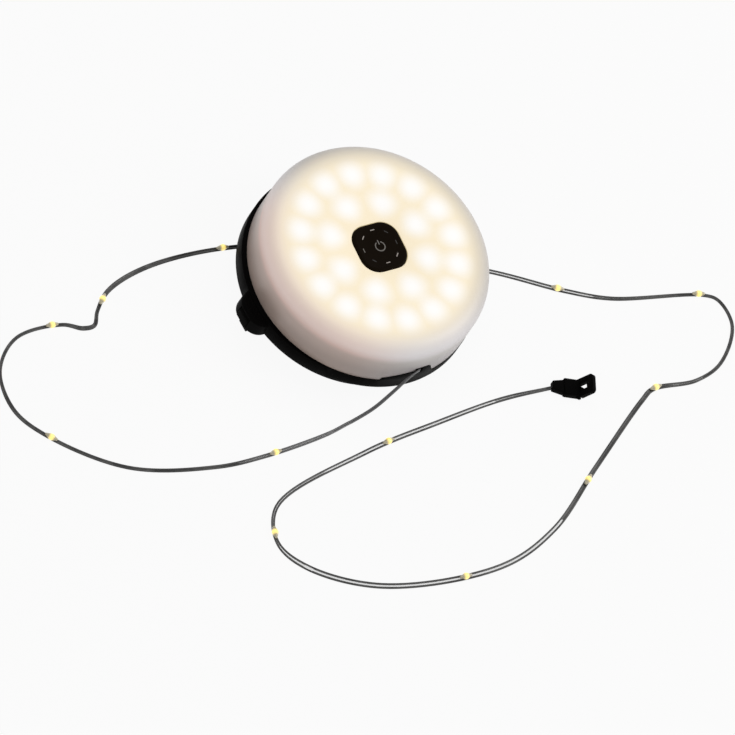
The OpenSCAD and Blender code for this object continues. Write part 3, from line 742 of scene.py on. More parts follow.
@dataclass(frozen=True)
class OpalFinish(Finish):
    """The opal dome, lit from behind by rings of lamps.

    The pairs are ranges in metres: fade is the distance from the axis over which the lit top ends,
    and skirt and round_part are the heights over which the skirt's painted shade lifts and the
    round shoulder starts. The skirt is given painted shade, darker towards the bottom and browner
    and darker on the shaded side, and one side of the round shoulder is given painted light.
    """

    spot: Colour = (0.69, 0.70, 0.695)
    between: Colour = (0.91, 0.74, 0.39)
    middle_glow: float = 0.7
    fade: tuple[float, float] = (0.052, 0.071)
    skirt: tuple[float, float] = (0.030, 0.044)
    round_part: tuple[float, float] = (0.041, 0.050)
    # Painted shade on the skirt: darker low down, and browner and darker on the shaded side.
    low_skirt_shade: Colour = (0.56, 0.525, 0.53)
    low_skirt_side_shade: Colour = (0.54, 0.42, 0.37)
    high_skirt_side_shade: Colour = (0.82, 0.65, 0.58)
    # The next two paint light on one side of the round shoulder, warmer towards the shaded side.
    shoulder_painted_light: Colour = (0.285, 0.28, 0.31)
    shoulder_side_painted_light: Colour = (0.375, 0.24, 0.21)
    unlit: Colour = (0.02, 0.017, 0.015)

    def material(self) -> bpy.types.Material:
        """Builds the material.

        Returns:
            A satin opal plastic that glows where the lamps are.
        """
        material, nodes, shader = self.start()
        glow = nodes.group("glow")
        height, shaded_side = glow.outputs["Height"], glow.outputs["Warm side"]
        dark = tuple(c * 0.97 for c in self.colour)
        above = nodes.mix(self.moulded(nodes, shader), dark, self.colour)
        # Painted shade: the skirt is browner and darker on the shaded side and darker towards the
        # bottom.
        below_round = nodes.ramp(height, self.skirt[1], self.round_part[1], 1, 0)
        shaded_skirt = nodes.math("MULTIPLY", shaded_side, below_round)
        upper = nodes.mix(shaded_skirt, above, self.high_skirt_side_shade)
        lower = nodes.mix(shaded_side, self.low_skirt_shade, self.low_skirt_side_shade)
        rise = nodes.ramp(height, *self.skirt)
        nodes.link(nodes.mix(rise, lower, upper), shader.inputs["Base Color"])
        between = tuple(c * self.middle_glow for c in self.between)
        lit = nodes.mix(glow.outputs["Spots"], between, self.spot)
        edge = nodes.ramp(glow.outputs["Distance"], *self.fade, 1, 0)
        # Painted light: the round shoulder glows on one side only.
        on_round = nodes.ramp(height, *self.round_part)
        share = nodes.math("MULTIPLY", glow.outputs["Open side"], on_round)
        shoulder_light = nodes.mix(shaded_side, self.shoulder_painted_light, self.shoulder_side_painted_light)
        shoulder = nodes.mix(share, self.unlit, shoulder_light)
        nodes.link(nodes.mix(edge, shoulder, lit), shader.inputs["Emission Color"])
        shader.inputs["Emission Strength"].default_value = self.glow
        return material


@dataclass(frozen=True)
class StringFinish(Finish):
    """Flat clear lead: two wires with a clear web between them, made paler near the lamp by painted
    light.

    The painted light keeps the lead pale up to the first place of pale_until on the route, and the
    lead is dark from the second.
    """

    web: Colour = (0.86, 0.86, 0.85)
    pale: Colour = (0.24, 0.24, 0.245)
    pale_until: tuple[float, float] = (4.5, 7.0)
    clear: float = 0.25

    def material(self) -> bpy.types.Material:
        """Builds the material from the piece's Wire attribute and its map, whose U runs along it.

        Returns:
            A glossy clear-looking plastic.
        """
        material, nodes, shader = self.start()
        parts = nodes.add("SeparateXYZ")
        nodes.link(nodes.add("UVMap", uv_map="Section").outputs[0], parts.inputs[0])
        along = parts.outputs[0]
        streaks = nodes.add("TexNoise", noise_dimensions="1D")
        nodes.link(along, streaks.inputs["W"])
        streaks.inputs["Scale"].default_value = 2.2
        streaks.inputs["Detail"].default_value = 3
        dark, light = (tuple(c * part for c in self.colour) for part in (0.55, 1.5))
        wire = nodes.mix(nodes.ramp(streaks.outputs[0], 0.35, 0.65), dark, light)
        # Painted light: the lead is paler near the lamp.
        wire = nodes.mix(nodes.ramp(along, *self.pale_until), self.pale, wire)
        on_wire = nodes.add("Attribute", attribute_name="Wire").outputs["Fac"]
        share = nodes.ramp(on_wire, 0.3, 0.7)
        nodes.link(nodes.mix(share, self.web, wire), shader.inputs["Base Color"])
        nodes.link(nodes.ramp(share, 0, 1, self.clear, 1), shader.inputs["Alpha"])
        self.moulded(nodes, shader)
        return material


@dataclass(frozen=True)
class BeadFinish(Finish):
    """Clear resin drop with a lit chip in its middle."""

    core: Colour = (1.0, 0.76, 0.22)

    def material(self) -> bpy.types.Material:
        """Builds the material from the drop's own Lit attribute, 1 in its middle and 0 at its ends.

        Returns:
            A glossy resin that glows in the middle.
        """
        material, nodes, shader = self.start()
        lit = nodes.add("Attribute", attribute_name="Lit")
        share = nodes.ramp(lit.outputs["Fac"], 0.25, 0.85)
        nodes.link(nodes.mix(share, self.colour, self.core), shader.inputs["Base Color"])
        nodes.link(nodes.mix(share, (0, 0, 0), self.core), shader.inputs["Emission Color"])
        self.moulded(nodes, shader)
        shader.inputs["Emission Strength"].default_value = self.glow
        return material


GROUPS: dict[str, bpy.types.NodeTree] = {}

FINISHES: tuple[Finish, ...] = (
    OpalFinish("Opal dome", (0.80, 0.765, 0.74), 0.42, 0.06, 1400, 0.05, glow=0.8),
    Finish("Black shell", (0.0036, 0.0032, 0.0031), 0.46, 0.12, 2600, 0.10, 0.2, shine=0.012),
    Finish("Black button", (0.009, 0.0055, 0.0027), 0.40, 0.1, 2600, 0.06, 0.2, shine=0.02),
    # The dashes are one printed ink in three copies: with a painted highlight and a faint painted
    # glow, dim, and with painted shade.
    Finish("Lit dash", (0.42, 0.37, 0.33), 0.3, glow=0.1),
    Finish("Dim dash", (0.19, 0.17, 0.15), 0.3),
    Finish("Dark dash", (0.045, 0.042, 0.04), 0.35, shine=0.2),
    Finish("Black rubber", (0.016, 0.016, 0.017), 0.78, 0.1, 1500, 0.35, 0.25),
    Finish("White plastic", (0.82, 0.82, 0.79), 0.45),
    Finish("Grey plastic", (0.55, 0.55, 0.53), 0.5),
    Finish("White board", (0.85, 0.85, 0.82), 0.35, grain=400),
    Finish("Green board", (0.02, 0.12, 0.05), 0.35, grain=400, coat=0.4),
    Finish("Black chip", (0.015, 0.015, 0.017), 0.4),
    Finish("Lamp chip", (1.0, 0.86, 0.5), 0.3, coat=0.5, glow=1.0),
    MetalFinish("Steel", (0.58, 0.585, 0.6)),
    MetalFinish("Brass", (0.74, 0.56, 0.26)),
    Finish("Cell wrap", (0.12, 0.32, 0.5), 0.25, coat=0.5),
    Finish("Red lead", (0.4, 0.03, 0.03), 0.35),
    StringFinish("Clear string", (0.075, 0.074, 0.072), 0.35, coat=0.2, shine=0.3),
    Finish("Wound string", (0.5, 0.5, 0.49), 0.3, grain=500),
    BeadFinish("Resin bead", (0.72, 0.64, 0.42), 0.12, coat=1.0, glow=0.9),
)

NODE_FINISH = {
    "tact_switch": "Black chip", "led_board": "White board", "board_leds": "Lamp chip",
    "led_tray": "White plastic", "tray_screws": "Steel", "seal_ring": "Black rubber",
    "button_housing": "White plastic", "button_seal": "Black rubber",
    "battery_cells": "Cell wrap", "battery_holder": "Black chip", "battery_contacts": "Steel",
    "battery_leads": "Red lead", "control_board": "Green board", "board_parts": "Black chip",
    "brushes": "Brass", "slip_rings": "Brass", "reel_drum": "Grey plastic",
    "wound_string": "Wound string", "string_lead": "Wound string", "reel_bush": "Brass",
    "dial_screw": "Steel", "usb_board": "Green board",
}


# ---------------------------------------------------------------- the free string


@dataclass
class Assembly:
    """A part of the lamp, built with the materials it is given by name."""

    finish: Finishes


@dataclass
class LightString(Assembly):
    """The flat lead on the table with its beads and the hook on its end.

    A place on the route is a point's number plus the share of the way to the next point. The
    points and spread are in millimetres: spread gives the width over both wires from place to
    place, while width is the cord's declared diameter and is not used. In the closed stretches the
    wires touch.
    """

    lie: float = 0.6
    width: float = 2.2 * MM
    thickness: float = 1.15 * MM
    web: float = 0.3 * MM
    flat_from: float = 2.5
    per_point: int = 14
    sides: int = 28
    bead_half: float = 4.0 * MM
    bead_radius: float = 2.0 * MM
    bead_height: float = 2.0 * MM
    bead_round: float = 0.35
    lit_half: float = 0.75
    spread: tuple[tuple[float, float], ...] = (
        (0, 2.2), (4.5, 2.2), (5.5, 2.7), (8, 2.5), (10, 2.7), (11, 2.1), (12.5, 2.2), (14, 3.0),
        (16, 2.3), (17.5, 3.1), (19, 2.7), (22, 3.1), (24, 2.2), (27.5, 2.2), (29, 3.0), (31, 3.0),
        (33.5, 3.6), (35, 4.0), (36.4, 2.4), (38.5, 3.2), (40, 2.9), (41, 2.3))
    closed: tuple[tuple[float, float], ...] = ((6.5, 19.5), (28.5, 31.8))
    beads: tuple[float, ...] = (
        5.82, 8.92, 12.75, 16.54, 18.88, 20.3, 21.87, 23.91, 28.93, 31.19, 33.33, 36.3, 38.3)
    down: tuple[Point, ...] = (
        (1.2, -70.5, 31), (-6, -72.5, 29), (-13.5, -74.5, 20.5), (-23.5, -76.5, 8))
    on_table: tuple[tuple[float, float], ...] = (
        (-36.5, -78), (-55, -81.5), (-99.5, -84.5), (-131.5, -83), (-184, -69), (-223.5, -36.5),
        (-235, -16.5), (-232, 8.5), (-212.5, 26), (-181, 26.5), (-169.5, 21), (-162, 21),
        (-156, 29), (-143.5, 39.5), (-113, 47.5), (-55.5, 45.5), (16.5, 26), (93, -11),
        (132, -34.5), (157.5, -46.5), (214.5, -59.5), (222, -65), (223, -82), (204.5, -103),
        (184, -109.5), (155.5, -107.5), (145.5, -112.5), (96.5, -145.5), (53.5, -175),
        (10.5, -188.5), (-67, -180.5), (-106.5, -157), (-116.5, -138.5), (-106.5, -116.5),
        (-37, -98.5), (15.5, -92.5), (61, -89))
    into_hook: Point = (93.5, -90.5, 1.2)
    route: list[Point] = field(init=False)

    def __post_init__(self) -> None:
        """Puts the route together from its listed points."""
        table = [(x, y, self.lie) for x, y in self.on_table]
        self.route = [*self.down, *table, self.into_hook]

    def at(self, share: float) -> Vector:
        """Gives a place on the route.

        Args:
            share: A point's number, and the share of the way to the next.

        Returns:
            The place, in metres.
        """
        points = [Vector(p) for p in self.route]
        points = [2 * points[0] - points[1], *points, 2 * points[-1] - points[-2]]
        first = min(int(share), len(self.route) - 2)
        quad = points[first:first + 4]
        times = [0.0]
        for before, after in zip(quad, quad[1:]):
            times.append(times[-1] + math.sqrt((after - before).length))
        moment = times[1] + (share - first) * (times[2] - times[1])
        row = list(quad)
        for depth in (1, 2, 3):
            spans = []
            for i in range(len(row) - 1):
                start, stop = (times[1], times[2]) if depth == 3 else (times[i], times[i + depth])
                before, after = row[i], row[i + 1]
                spans.append(((stop - moment) * before + (moment - start) * after) / (stop - start))
            row = spans
        place_on = row[0]
        place_on.z = max(place_on.z, self.lie)
        return place_on * MM

    def heading(self, share: float) -> Vector:
        """Gives the direction of the route at a place.

        Args:
            share: The place, as for at().

        Returns:
            A unit vector.
        """
        last = len(self.route) - 1
        return (self.at(min(share + 0.02, last)) - self.at(max(share - 0.02, 0))).normalized()

    def roll(self, share: float) -> float:
        """Says how far the flat lead is turned on edge at a place.

        Args:
            share: The place, as for at().

        Returns:
            The turn, in radians.
        """
        return math.radians(90) * max(0.0, 1 - share / self.flat_from)

    def width_at(self, share: float) -> float:
        """Says how wide the lead is at a place, where its two wires lie closer or further apart.

        Args:
            share: The place, as for at().

        Returns:
            The width over both wires, in metres.
        """
        for (start, narrow), (stop, wide) in zip(self.spread, self.spread[1:]):
            if share <= stop:
                part = (share - start) / (stop - start)
                return (narrow + (wide - narrow) * part * part * (3 - 2 * part)) * MM
        return self.spread[-1][1] * MM

    def section_point(self, width: float, turn: float) -> tuple[float, float, float]:
        """Gives a point of the section: a round wire at each edge and a thin web between.

        Args:
            width: The width over both wires.
            turn: The point's turn round the section, in radians.

        Returns:
            How far the point is to the side and up, and 1 on a wire or 0 on the web.
        """
        radius = self.thickness / 2
        x = width / 2 * math.cos(turn)
        inward = abs(x) - (width / 2 - radius)
        wire = math.sqrt(max(0.0, radius * radius - inward * inward))
        on_wire = 1.0 if wire > self.web / 2 or inward > 0 else 0.0
        y = wire if on_wire else self.web / 2
        return x, math.copysign(y, math.sin(turn)), on_wire

    def lead_mesh(self) -> tuple[bpy.types.Object, list[Vector]]:
        """Sweeps the flat section along the route.

        Returns:
            The lead and the points of its middle line.
        """
        count = (len(self.route) - 1) * self.per_point
        shares = [i / self.per_point for i in range(count + 1)]
        middles = [self.at(s) for s in shares]
        verts: list[Vector] = []
        wires: list[float] = []
        for share, middle in zip(shares, middles):
            way = self.heading(share)
            side = Vector((0, 0, 1)).cross(way).normalized()
            up = way.cross(side)
            turn, width = self.roll(share), self.width_at(share)
            shut = any(start < share < stop for start, stop in self.closed)
            for j in range(self.sides):
                x, y, on_wire = self.section_point(width, math.tau * j / self.sides)
                wires.append(1.0 if shut else on_wire)
                verts.append(middle + (x * math.cos(turn) - y * math.sin(turn)) * side
                             + (x * math.sin(turn) + y * math.cos(turn)) * up)
        faces = []
        for i in range(count):
            for j in range(self.sides):
                a, b = i * self.sides + j, i * self.sides + (j + 1) % self.sides
                faces.append((a, b, b + self.sides, a + self.sides))
        faces.append(tuple(range(self.sides))[::-1])
        faces.append(tuple(count * self.sides + j for j in range(self.sides)))
        mesh = bpy.data.meshes.new("clear_string")
        mesh.from_pydata(verts, [], faces)
        lead = add_object("clear_string", mesh)
        self.map_section(mesh, count)
        mesh.attributes.new("Wire", "FLOAT", "POINT").data.foreach_set("value", wires)
        smooth(lead, 60)
        return lead, middles

    def map_section(self, mesh: bpy.types.Mesh, count: int) -> None:
        """Writes a map whose U runs along the lead and whose V runs round it.

        Args:
            mesh: The lead's mesh.
            count: How many steps it has along its length.
        """
        layer = mesh.uv_layers.new(name="Section")
        for face in mesh.polygons:
            for loop in face.loop_indices:
                ring, corner = divmod(mesh.loops[loop].vertex_index, self.sides)
                last = face.index % self.sides == self.sides - 1
                wraps = last and face.index < count * self.sides
                turn = 1.0 if wraps and corner == 0 else corner / self.sides
                layer.data[loop].uv = (ring / self.per_point, turn)

    def bead(self, number: int, share: float) -> bpy.types.Object:
        """Models one resin drop on the lead.

        Args:
            number: The drop's number along the lead.
            share: Its place on the route.

        Returns:
            The drop, with its Lit attribute.
        """
        bpy.ops.mesh.primitive_uv_sphere_add(segments=24, ring_count=22, radius=1)
        drop = name_new(f"bead_{number:02d}")
        lit = drop.data.attributes.new("Lit", "FLOAT", "POINT")
        for vert in drop.data.vertices:
            along, out = vert.co.z, math.hypot(vert.co.x, vert.co.y)
            swell = 0.5 + 0.5 * math.exp(-((along / 0.5) ** 2))
            scale = self.bead_radius * swell
            flat = out ** self.bead_round / out if out > TINY else 0
            lit.data[vert.index].value = max(0.0, 1 - abs(along) / self.lit_half)
            vert.co = (along * self.bead_half, vert.co.x * scale * flat, vert.co.y * scale * flat)
        where, way = self.at(share), self.heading(share)
        drop.location = (where.x, where.y, self.bead_height)
        drop.rotation_euler = (0, 0, math.atan2(way.y, way.x))
        settle(drop)
        smooth(drop, 80)
        return drop

    def build(self) -> None:
        lead, middles = self.lead_mesh()
        place(lead, Body.HOUSING, "string", self.finish["Clear string"], "string_wire")
        drops = [self.bead(i + 1, s) for i, s in enumerate(self.beads)]
        for drop in drops:
            place(drop, Body.HOUSING, "bead", self.finish["Resin bead"], "string_leds")
        hook = EndHook(self.finish).build()


@dataclass
class EndHook(Assembly):
    """The black hook on the string's end: a tapered neck, a body and a bent-up plate.

    The plate has a window, open to one side through a slit, and a barb in the window's corner. The
    window's sides are measured across the plate from its middle.
    """

    place_mm: Point = (94, -89.8, 0)
    turn: float = math.radians(-24)
    bend: float = math.radians(60)
    width: float = 12 * MM
    neck: float = 6.8 * MM
    neck_width: float = 5.5 * MM
    length: float = 17.2 * MM
    height: float = 5 * MM
    plate_length: float = 11.5 * MM
    plate_thickness: float = 2.8 * MM
    plate_corner: float = 2 * MM
    slit: float = 1.15 * MM
    window_length: float = 5.6 * MM
    window_sides: tuple[float, float] = (-1.8 * MM, 2.2 * MM)
    barb_radius: float = 0.95 * MM
    barb_length: float = 1.2 * MM
    lap: float = 0.1 * MM

    def neck_piece(self, half: float) -> bpy.types.Object:
        """Models the neck, which widens from the string to the body.

        Args:
            half: Half the body's width.

        Returns:
            The neck.
        """
        wide = half - 1 * MM
        neck = add_block("hook_neck", (0, -wide, 0),
                         (self.neck + 0.5 * MM, wide, self.height - 0.6 * MM))
        edit(neck, Pick.VERTS, lambda v: v.co.x < TINY)
        narrower = self.neck_width / 2 / wide
        bpy.ops.transform.resize(value=(1, narrower, 1), center_override=(0, 0, 0))
        close_edit()
        soften(neck, 0.7 * MM, 4)
        return neck

    def plate(self) -> bpy.types.Object:
        """Models the plate flat, with its window, slit and barb.

        Returns:
            The plate, bent up at the body's end.
        """
        half, thick = self.width / 2, self.plate_thickness / 2
        low, high = self.window_sides
        start = self.slit + self.lap
        tip = low + self.barb_length
        plate = add_block("hook_plate", (-1.5 * MM, -half, -thick),
                          (self.plate_length, half, thick))
        bevel_edges(plate, lambda e: upright(e) and e.verts[0].co.x > 0, self.plate_corner, 6)
        cut(plate, add_block("window", (start - self.lap, low, -1),
                             (start + self.window_length, high, 1)))
        cut(plate, add_block("slit", (self.lap, -1, -1), (start, high, 1)))
        soften(plate, 0.35 * MM, 3)
        barb = add_round("hook_barb", self.barb_radius, -thick, thick, 32,
                         (start + self.barb_radius, tip))
        root = add_block("hook_barb_root", (start, low - 1 * MM, -thick),
                         (start + 2 * self.barb_radius, tip, thick))
        plate = join([plate, barb, root], "hook_plate")
        turn_and_move(plate, -self.bend, "Y",
                      (self.length - 0.6 * MM, 0, self.height / 2 + 0.3 * MM))
        return plate

    def build(self) -> bpy.types.Object:
        """Builds the hook at the string's end.

        Returns:
            The hook, as one piece.
        """
        half = self.width / 2 - 0.6 * MM
        barrel = add_block("hook_barrel", (self.neck, -half, 0), (self.length, half, self.height))
        soften(barrel, 1.0 * MM, 4)
        hook = join([barrel, self.neck_piece(half), self.plate()], "string_hook")
        turn_and_move(hook, self.turn, offset=Vector(self.place_mm) * MM)
        smooth(hook)
        return place(hook, Body.HOUSING, "black_plastic", self.finish["Black shell"], "end_hook")


# ---------------------------------------------------------------- the lamp


@dataclass
class Dome(Assembly):
    """The opal dome with its round shoulder, the button's hole and the notch at the outlet.

    The notch's points are in millimetres: how far to the side of the outlet, and above the rim. The
    groove's rise is the range of heights of the groove in which the string leaves.
    """

    radius: float = 70 * MM
    wall: float = 2.2 * MM
    shoulder: float = 10.2 * MM
    hole: float = 31.2 * MM
    hole_corner: float = 10.85 * MM
    outlet_turn: float = math.radians(-92.5)
    exit_mm: Point = (1.2, -70.5, 31)
    leave_turn: float = math.radians(196)
    groove_half: float = 1.4 * MM
    groove_length: float = 14 * MM
    groove_rise: tuple[float, float] = (29.3 * MM, 32.5 * MM)
    notch: tuple[tuple[float, float], ...] = (
        (-18.8, -1), (-18.1, 2.5), (-9.5, 5.1), (0, 7.1), (1.2, 9.3), (10.6, 9.3), (12.7, 7.4),
        (17.2, -1))

    def notch_cutter(self, foot: float) -> bpy.types.Object:
        """Makes the solid that cuts the notch.

        Args:
            foot: The height of the dome's lower rim.

        Returns:
            The cutter.
        """
        inner, outer = self.radius - 4 * MM, self.radius + 2 * MM
        points = [Vector((reach, side * MM, foot + high * MM)) for reach in (inner, outer)
                  for side, high in self.notch]
        n = len(self.notch)
        faces = [tuple(range(n))[::-1], tuple(range(n, 2 * n))]
        faces += [(i, (i + 1) % n, (i + 1) % n + n, i + n) for i in range(n)]
        mesh = bpy.data.meshes.new("notch")
        mesh.from_pydata(points, [], faces)
        mesh.transform(Matrix.Rotation(self.outlet_turn, 4, "Z"))
        return add_object("notch", mesh)

    def groove_cutter(self) -> bpy.types.Object:
        """Makes the solid that cuts the groove in which the string leaves.

        Returns:
            The cutter.
        """
        low, high = self.groove_rise
        block = add_block("groove", (-0.5 * MM, -self.groove_half, low),
                          (self.groove_length, self.groove_half, high))
        turn_and_move(block, self.leave_turn,
                      offset=(self.exit_mm[0] * MM, self.exit_mm[1] * MM, 0))
        return block

    def build(self) -> None:
        """Models the dome from a cylinder."""
        low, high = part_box("diffuser")
        dome = add_round("opal_dome", self.radius, low.z, high.z, 224)
        bevel_edges(dome, rim_at(high.z), self.shoulder, 16)
        edit(dome, Pick.FACES, lambda f: f.normal.z < -0.9)
        bpy.ops.mesh.delete(type="FACE")
        close_edit()
        apply_modifier(dome, "SOLIDIFY", thickness=self.wall, offset=-1, use_even_offset=True)
        cut(dome, add_round_square("hole", self.hole, self.hole_corner,
                                   high.z - 2 * self.wall, high.z + self.wall))
        cut(dome, self.notch_cutter(low.z))
        cut(dome, self.groove_cutter())
        soften(dome, 0.25 * MM, 2, 40)
        place(dome, Body.HOUSING, "opal", self.finish["Opal dome"], "diffuser")


@dataclass
class PushButton(Assembly):
    """The black push button with its ring of dashes and its mark.

    The lowest part of the node, hidden_part high, is left out because nothing shows of it.
    """

    width: float = 30.5 * MM
    corner: float = 10.5 * MM
    edge: float = 1.5 * MM
    rim: float = 2.2 * MM
    slope: float = 0.35 * MM
    dish: float = 0.15 * MM
    hidden_part: float = 5 * MM
    mark_thickness: float = 0.3 * MM
    mark_rise: float = 0.04 * MM
    dash_ring: float = 11 * MM
    dash_length: float = 2.8 * MM
    dash_width: float = 0.6 * MM
    dash_end: float = 0.28 * MM
    # Which dashes carry a painted highlight, which are dim and which carry painted shade.
    dashes: dict[str, tuple[int, ...]] = field(default_factory=lambda: {
        "Lit dash": (2, 3, 6, 7), "Dim dash": (4,), "Dark dash": (0, 1, 5)})
    dash_step: float = math.radians(45)
    symbol_radius: float = 3.3 * MM
    symbol_line: float = 0.7 * MM
    symbol_gap_half: float = 1.3 * MM

    def cap(self, low: float, top: float) -> bpy.types.Object:
        """Models the cap from a block.

        Args:
            low: The height of its lower face.
            top: The height of its upper face.

        Returns:
            The cap.
        """
        cap = add_round_square("button", self.width, self.corner, low, top, 18)
        bevel_edges(cap, rim_at(top), self.edge, 6)
        edit(cap, Pick.FACES, lambda f: f.normal.z > 0.9999)
        bpy.ops.mesh.inset(thickness=self.rim - self.edge)
        bpy.ops.mesh.inset(thickness=self.slope)
        bpy.ops.transform.translate(value=(0, 0, -self.dish))
        close_edit()
        smooth(cap, 24)
        return cap

    def dash(self, number: int, height: float) -> bpy.types.Object:
        """Models one dash.

        Args:
            number: The dash's number.
            height: The height of its upper face.

        Returns:
            The dash, in its place.
        """
        thin, long = self.dash_width / 2, self.dash_length / 2
        dash = add_block(f"dash_{number}",
                         (self.dash_ring - thin, -long, height - self.mark_thickness),
                         (self.dash_ring + thin, long, height))
        bevel_edges(dash, upright, self.dash_end, 5)
        turn_and_move(dash, self.dash_step * number)
        return dash

    def symbol(self, height: float) -> bpy.types.Object:
        """Models the generic power mark: an open ring and a bar.

        Args:
            height: The height of its upper face.

        Returns:
            The mark.
        """
        foot, below, above = height - self.mark_thickness, height - 1 * MM, height + 1 * MM
        half, gap = self.symbol_line / 2, self.symbol_gap_half
        ring = add_round("mark_ring", self.symbol_radius, foot, height, 64)
        cut(ring, add_round("inner", self.symbol_radius - self.symbol_line, below, above, 64))
        cut(ring, add_block("gap", (-gap, 0, below), (gap, 1, above)))
        bar = add_block("mark_bar", (-half, 1.2 * MM, foot),
                        (half, self.symbol_radius + 0.9 * MM, height))
        return join([ring, bar], "power_mark")

    def build(self) -> None:
        """Builds the button's pieces."""
        low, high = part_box("button_cap")
        face = high.z - self.dish + self.mark_rise
        cap = self.cap(low.z + self.hidden_part, high.z)
        place(cap, Body.BUTTON, "black_plastic", self.finish["Black button"], "button_cap")
        for look, numbers in self.dashes.items():
            name = look.lower().replace(" ", "_") + "es"
            group = join([self.dash(i, face) for i in numbers], name)
            place(group, Body.BUTTON, "mark", self.finish[look], "indicator_marks")
        place(self.symbol(face), Body.BUTTON, "mark", self.finish["Dim dash"], "power_symbol")


@dataclass
class Shells(Assembly):
    """The black shells and the small pieces on them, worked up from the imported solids.

    Each node has the width of its softened edges in millimetres, its material slot and its finish.
    """

    looks: dict[str, tuple[float, str, str]] = field(default_factory=lambda: {
        "base_shell": (0.35, "black_plastic", "Black shell"),
        "rear_cover": (0.3, "black_plastic", "Black shell"),
        "string_guide": (0.15, "black_plastic", "Black shell"),
        "winding_dial": (0.4, "black_plastic", "Black shell"),
        "crank_knob": (0.45, "black_plastic", "Black button"),
        "hanging_hook": (0.5, "black_plastic", "Black shell"),
        "rear_feet": (0.4, "foot", "Black rubber"),
        "usb_cover": (0.25, "foot", "Black rubber"),
        "usb_socket": (0.1, "steel", "Steel"),
        "rear_screws": (0.25, "steel", "Steel"),
        "crank_pin": (0.1, "steel", "Steel"),
        "hook_pin": (0.2, "steel", "Steel"),
        "cover_pin": (0.08, "steel", "Steel"),
    })

    def build(self) -> None:
        """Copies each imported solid, rounds its edges and gives it its finish."""
        groups = frame["record"]["behaviour"]["bodies"]
        for node, (width, slot, look) in self.looks.items():
            body = next(Body(name) for name, members in groups.items() if node in members)
            piece = node_copy(node, f"{node}_piece")
            soften(piece, width * MM)
            place(piece, body, slot, self.finish[look], node)


# ---------------------------------------------------------------- stage


@dataclass(frozen=True)
class SoftLight:
    """A soft square light: its place and width in metres, its power in watts and its colour."""

    name: str
    place: Point
    size: float
    watts: float
    colour: Colour

    def build(self) -> None:
        """Adds the light, facing the frame's origin."""
        data = bpy.data.lights.new(self.name, "AREA")
        data.size = self.size
        data.energy = self.watts
        data.color = self.colour
        light = add_object(self.name, data)
        light.location = self.place
        light.rotation_euler = Vector(self.place).to_track_quat("Z", "Y").to_euler()


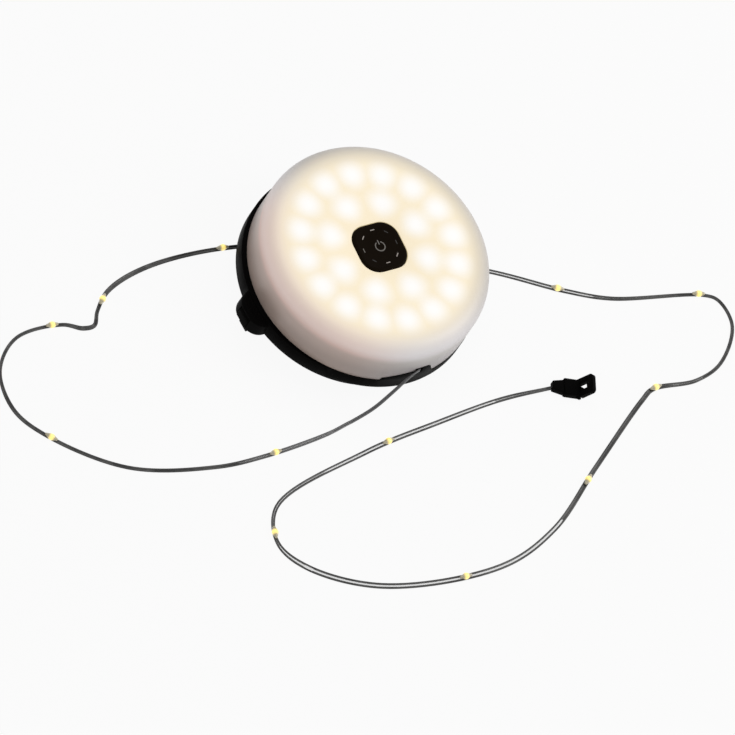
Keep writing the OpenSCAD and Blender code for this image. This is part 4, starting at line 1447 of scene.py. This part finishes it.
@dataclass
class Studio:
    """The camera, the lights, the floor and the white surround.

    The directions right, up and back and the place aim hold the photograph's view. The white_share
    of the floor is plain white to look at, and the rest takes the light and the shadows.
    """

    right: Point = (0.840126, -0.420465, 0.342632)
    up: Point = (0.227764, 0.846797, 0.480685)
    back: Point = (-0.492251, -0.325797, 0.807184)
    aim: Point = (-0.00954, -0.04754, -0.00107)
    distance: float = 19.0
    lens: float = 1621.1
    ambient: float = 0.30
    floor_half: float = 6.0
    floor_drop: float = 0.1 * MM
    white_share: float = 0.93
    lights: tuple[SoftLight, ...] = (
        SoftLight("Key", (1.6, -0.7, 1.5), 1.2, 13, (1.0, 0.99, 0.98)),
        SoftLight("Top", (0.3, 0.9, 2.2), 1.6, 6, (1.0, 1.0, 1.0)),
    )

    def camera(self) -> None:
        """Sets the camera at the photograph's view."""
        data = bpy.data.cameras.new("View")
        data.lens = self.lens
        data.sensor_width = 36
        data.clip_start = 1
        data.clip_end = 100
        camera = add_object("View", data)
        turn = Matrix((self.right, self.up, self.back)).transposed().to_4x4()
        stand = Vector(self.aim) + self.distance * Vector(self.back)
        camera.matrix_world = Matrix.Translation(stand) @ turn
        bpy.context.scene.camera = camera

    def white_rays(self, nodes: Nodes) -> bpy.types.NodeSocket:
        """Gives 1 for rays that see the surround straight, mirrored or through glass.

        Args:
            nodes: The helper of the tree it is added to.

        Returns:
            The mask's socket.
        """
        path = nodes.add("LightPath").outputs
        seen = nodes.math("MAXIMUM", path["Is Camera Ray"], path["Is Glossy Ray"])
        return nodes.math("MAXIMUM", seen, path["Is Transmission Ray"])

    def world(self) -> None:
        """Makes the surround: white to look at, plain and soft as a light."""
        world = bpy.data.worlds.new("Surround")
        bpy.context.scene.world = world
        world.use_nodes = True
        nodes = Nodes(world.node_tree)
        shader = world.node_tree.nodes["Background"]
        grey = (self.ambient,) * 3
        nodes.link(nodes.mix(self.white_rays(nodes), grey, (1.0, 1.0, 1.0)), shader.inputs["Color"])

    def floor(self) -> None:
        """Makes the pale floor, which looks white and keeps a faint shadow."""
        bpy.ops.mesh.primitive_plane_add(size=2 * self.floor_half,
                                         location=(0, 0, -self.floor_drop))
        floor = name_new("floor")
        material = bpy.data.materials.new("Pale floor")
        material.use_nodes = True
        nodes = Nodes(material.node_tree)
        tree = material.node_tree
        paint = tree.nodes["Principled BSDF"]
        paint.inputs["Base Color"].default_value = (0.9, 0.9, 0.9, 1)
        paint.inputs["Roughness"].default_value = 0.9
        shine = nodes.add("Emission")
        blend = nodes.add("MixShader")
        share = nodes.math("MULTIPLY", self.white_rays(nodes), self.white_share)
        nodes.link(share, blend.inputs[0])
        nodes.link(paint.outputs[0], blend.inputs[1])
        nodes.link(shine.outputs[0], blend.inputs[2])
        nodes.link(blend.outputs[0], tree.nodes["Material Output"].inputs["Surface"])
        floor.data.materials.append(material)

    def build(self) -> None:
        """Builds the stage."""
        self.camera()
        self.world()
        self.floor()
        for light in self.lights:
            light.build()
        bpy.context.scene.view_settings.view_transform = "Standard"


def dress_inside(finish: Finishes) -> None:
    """Gives every carried-over node its finish.

    Args:
        finish: The materials by name.
    """
    for node, look in NODE_FINISH.items():
        mesh = frame["nodes"][node].data
        mesh.materials.clear()
        mesh.materials.append(finish[look])


def main() -> None:
    """Builds everything in order."""
    logging.basicConfig(level=logging.INFO, format="%(name)s: %(message)s")
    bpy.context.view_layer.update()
    Studio().build()
    GROUPS["grain"] = moulded_grain_group()
    GROUPS["brushed"] = brushed_group()
    GROUPS["glow"] = glow_group()
    finish = {look.name: look.material() for look in FINISHES}
    for assembly in (LightString, Dome, PushButton, Shells):
        assembly(finish).build()
    dress_inside(finish)


if __name__ == "__main__":
    main()
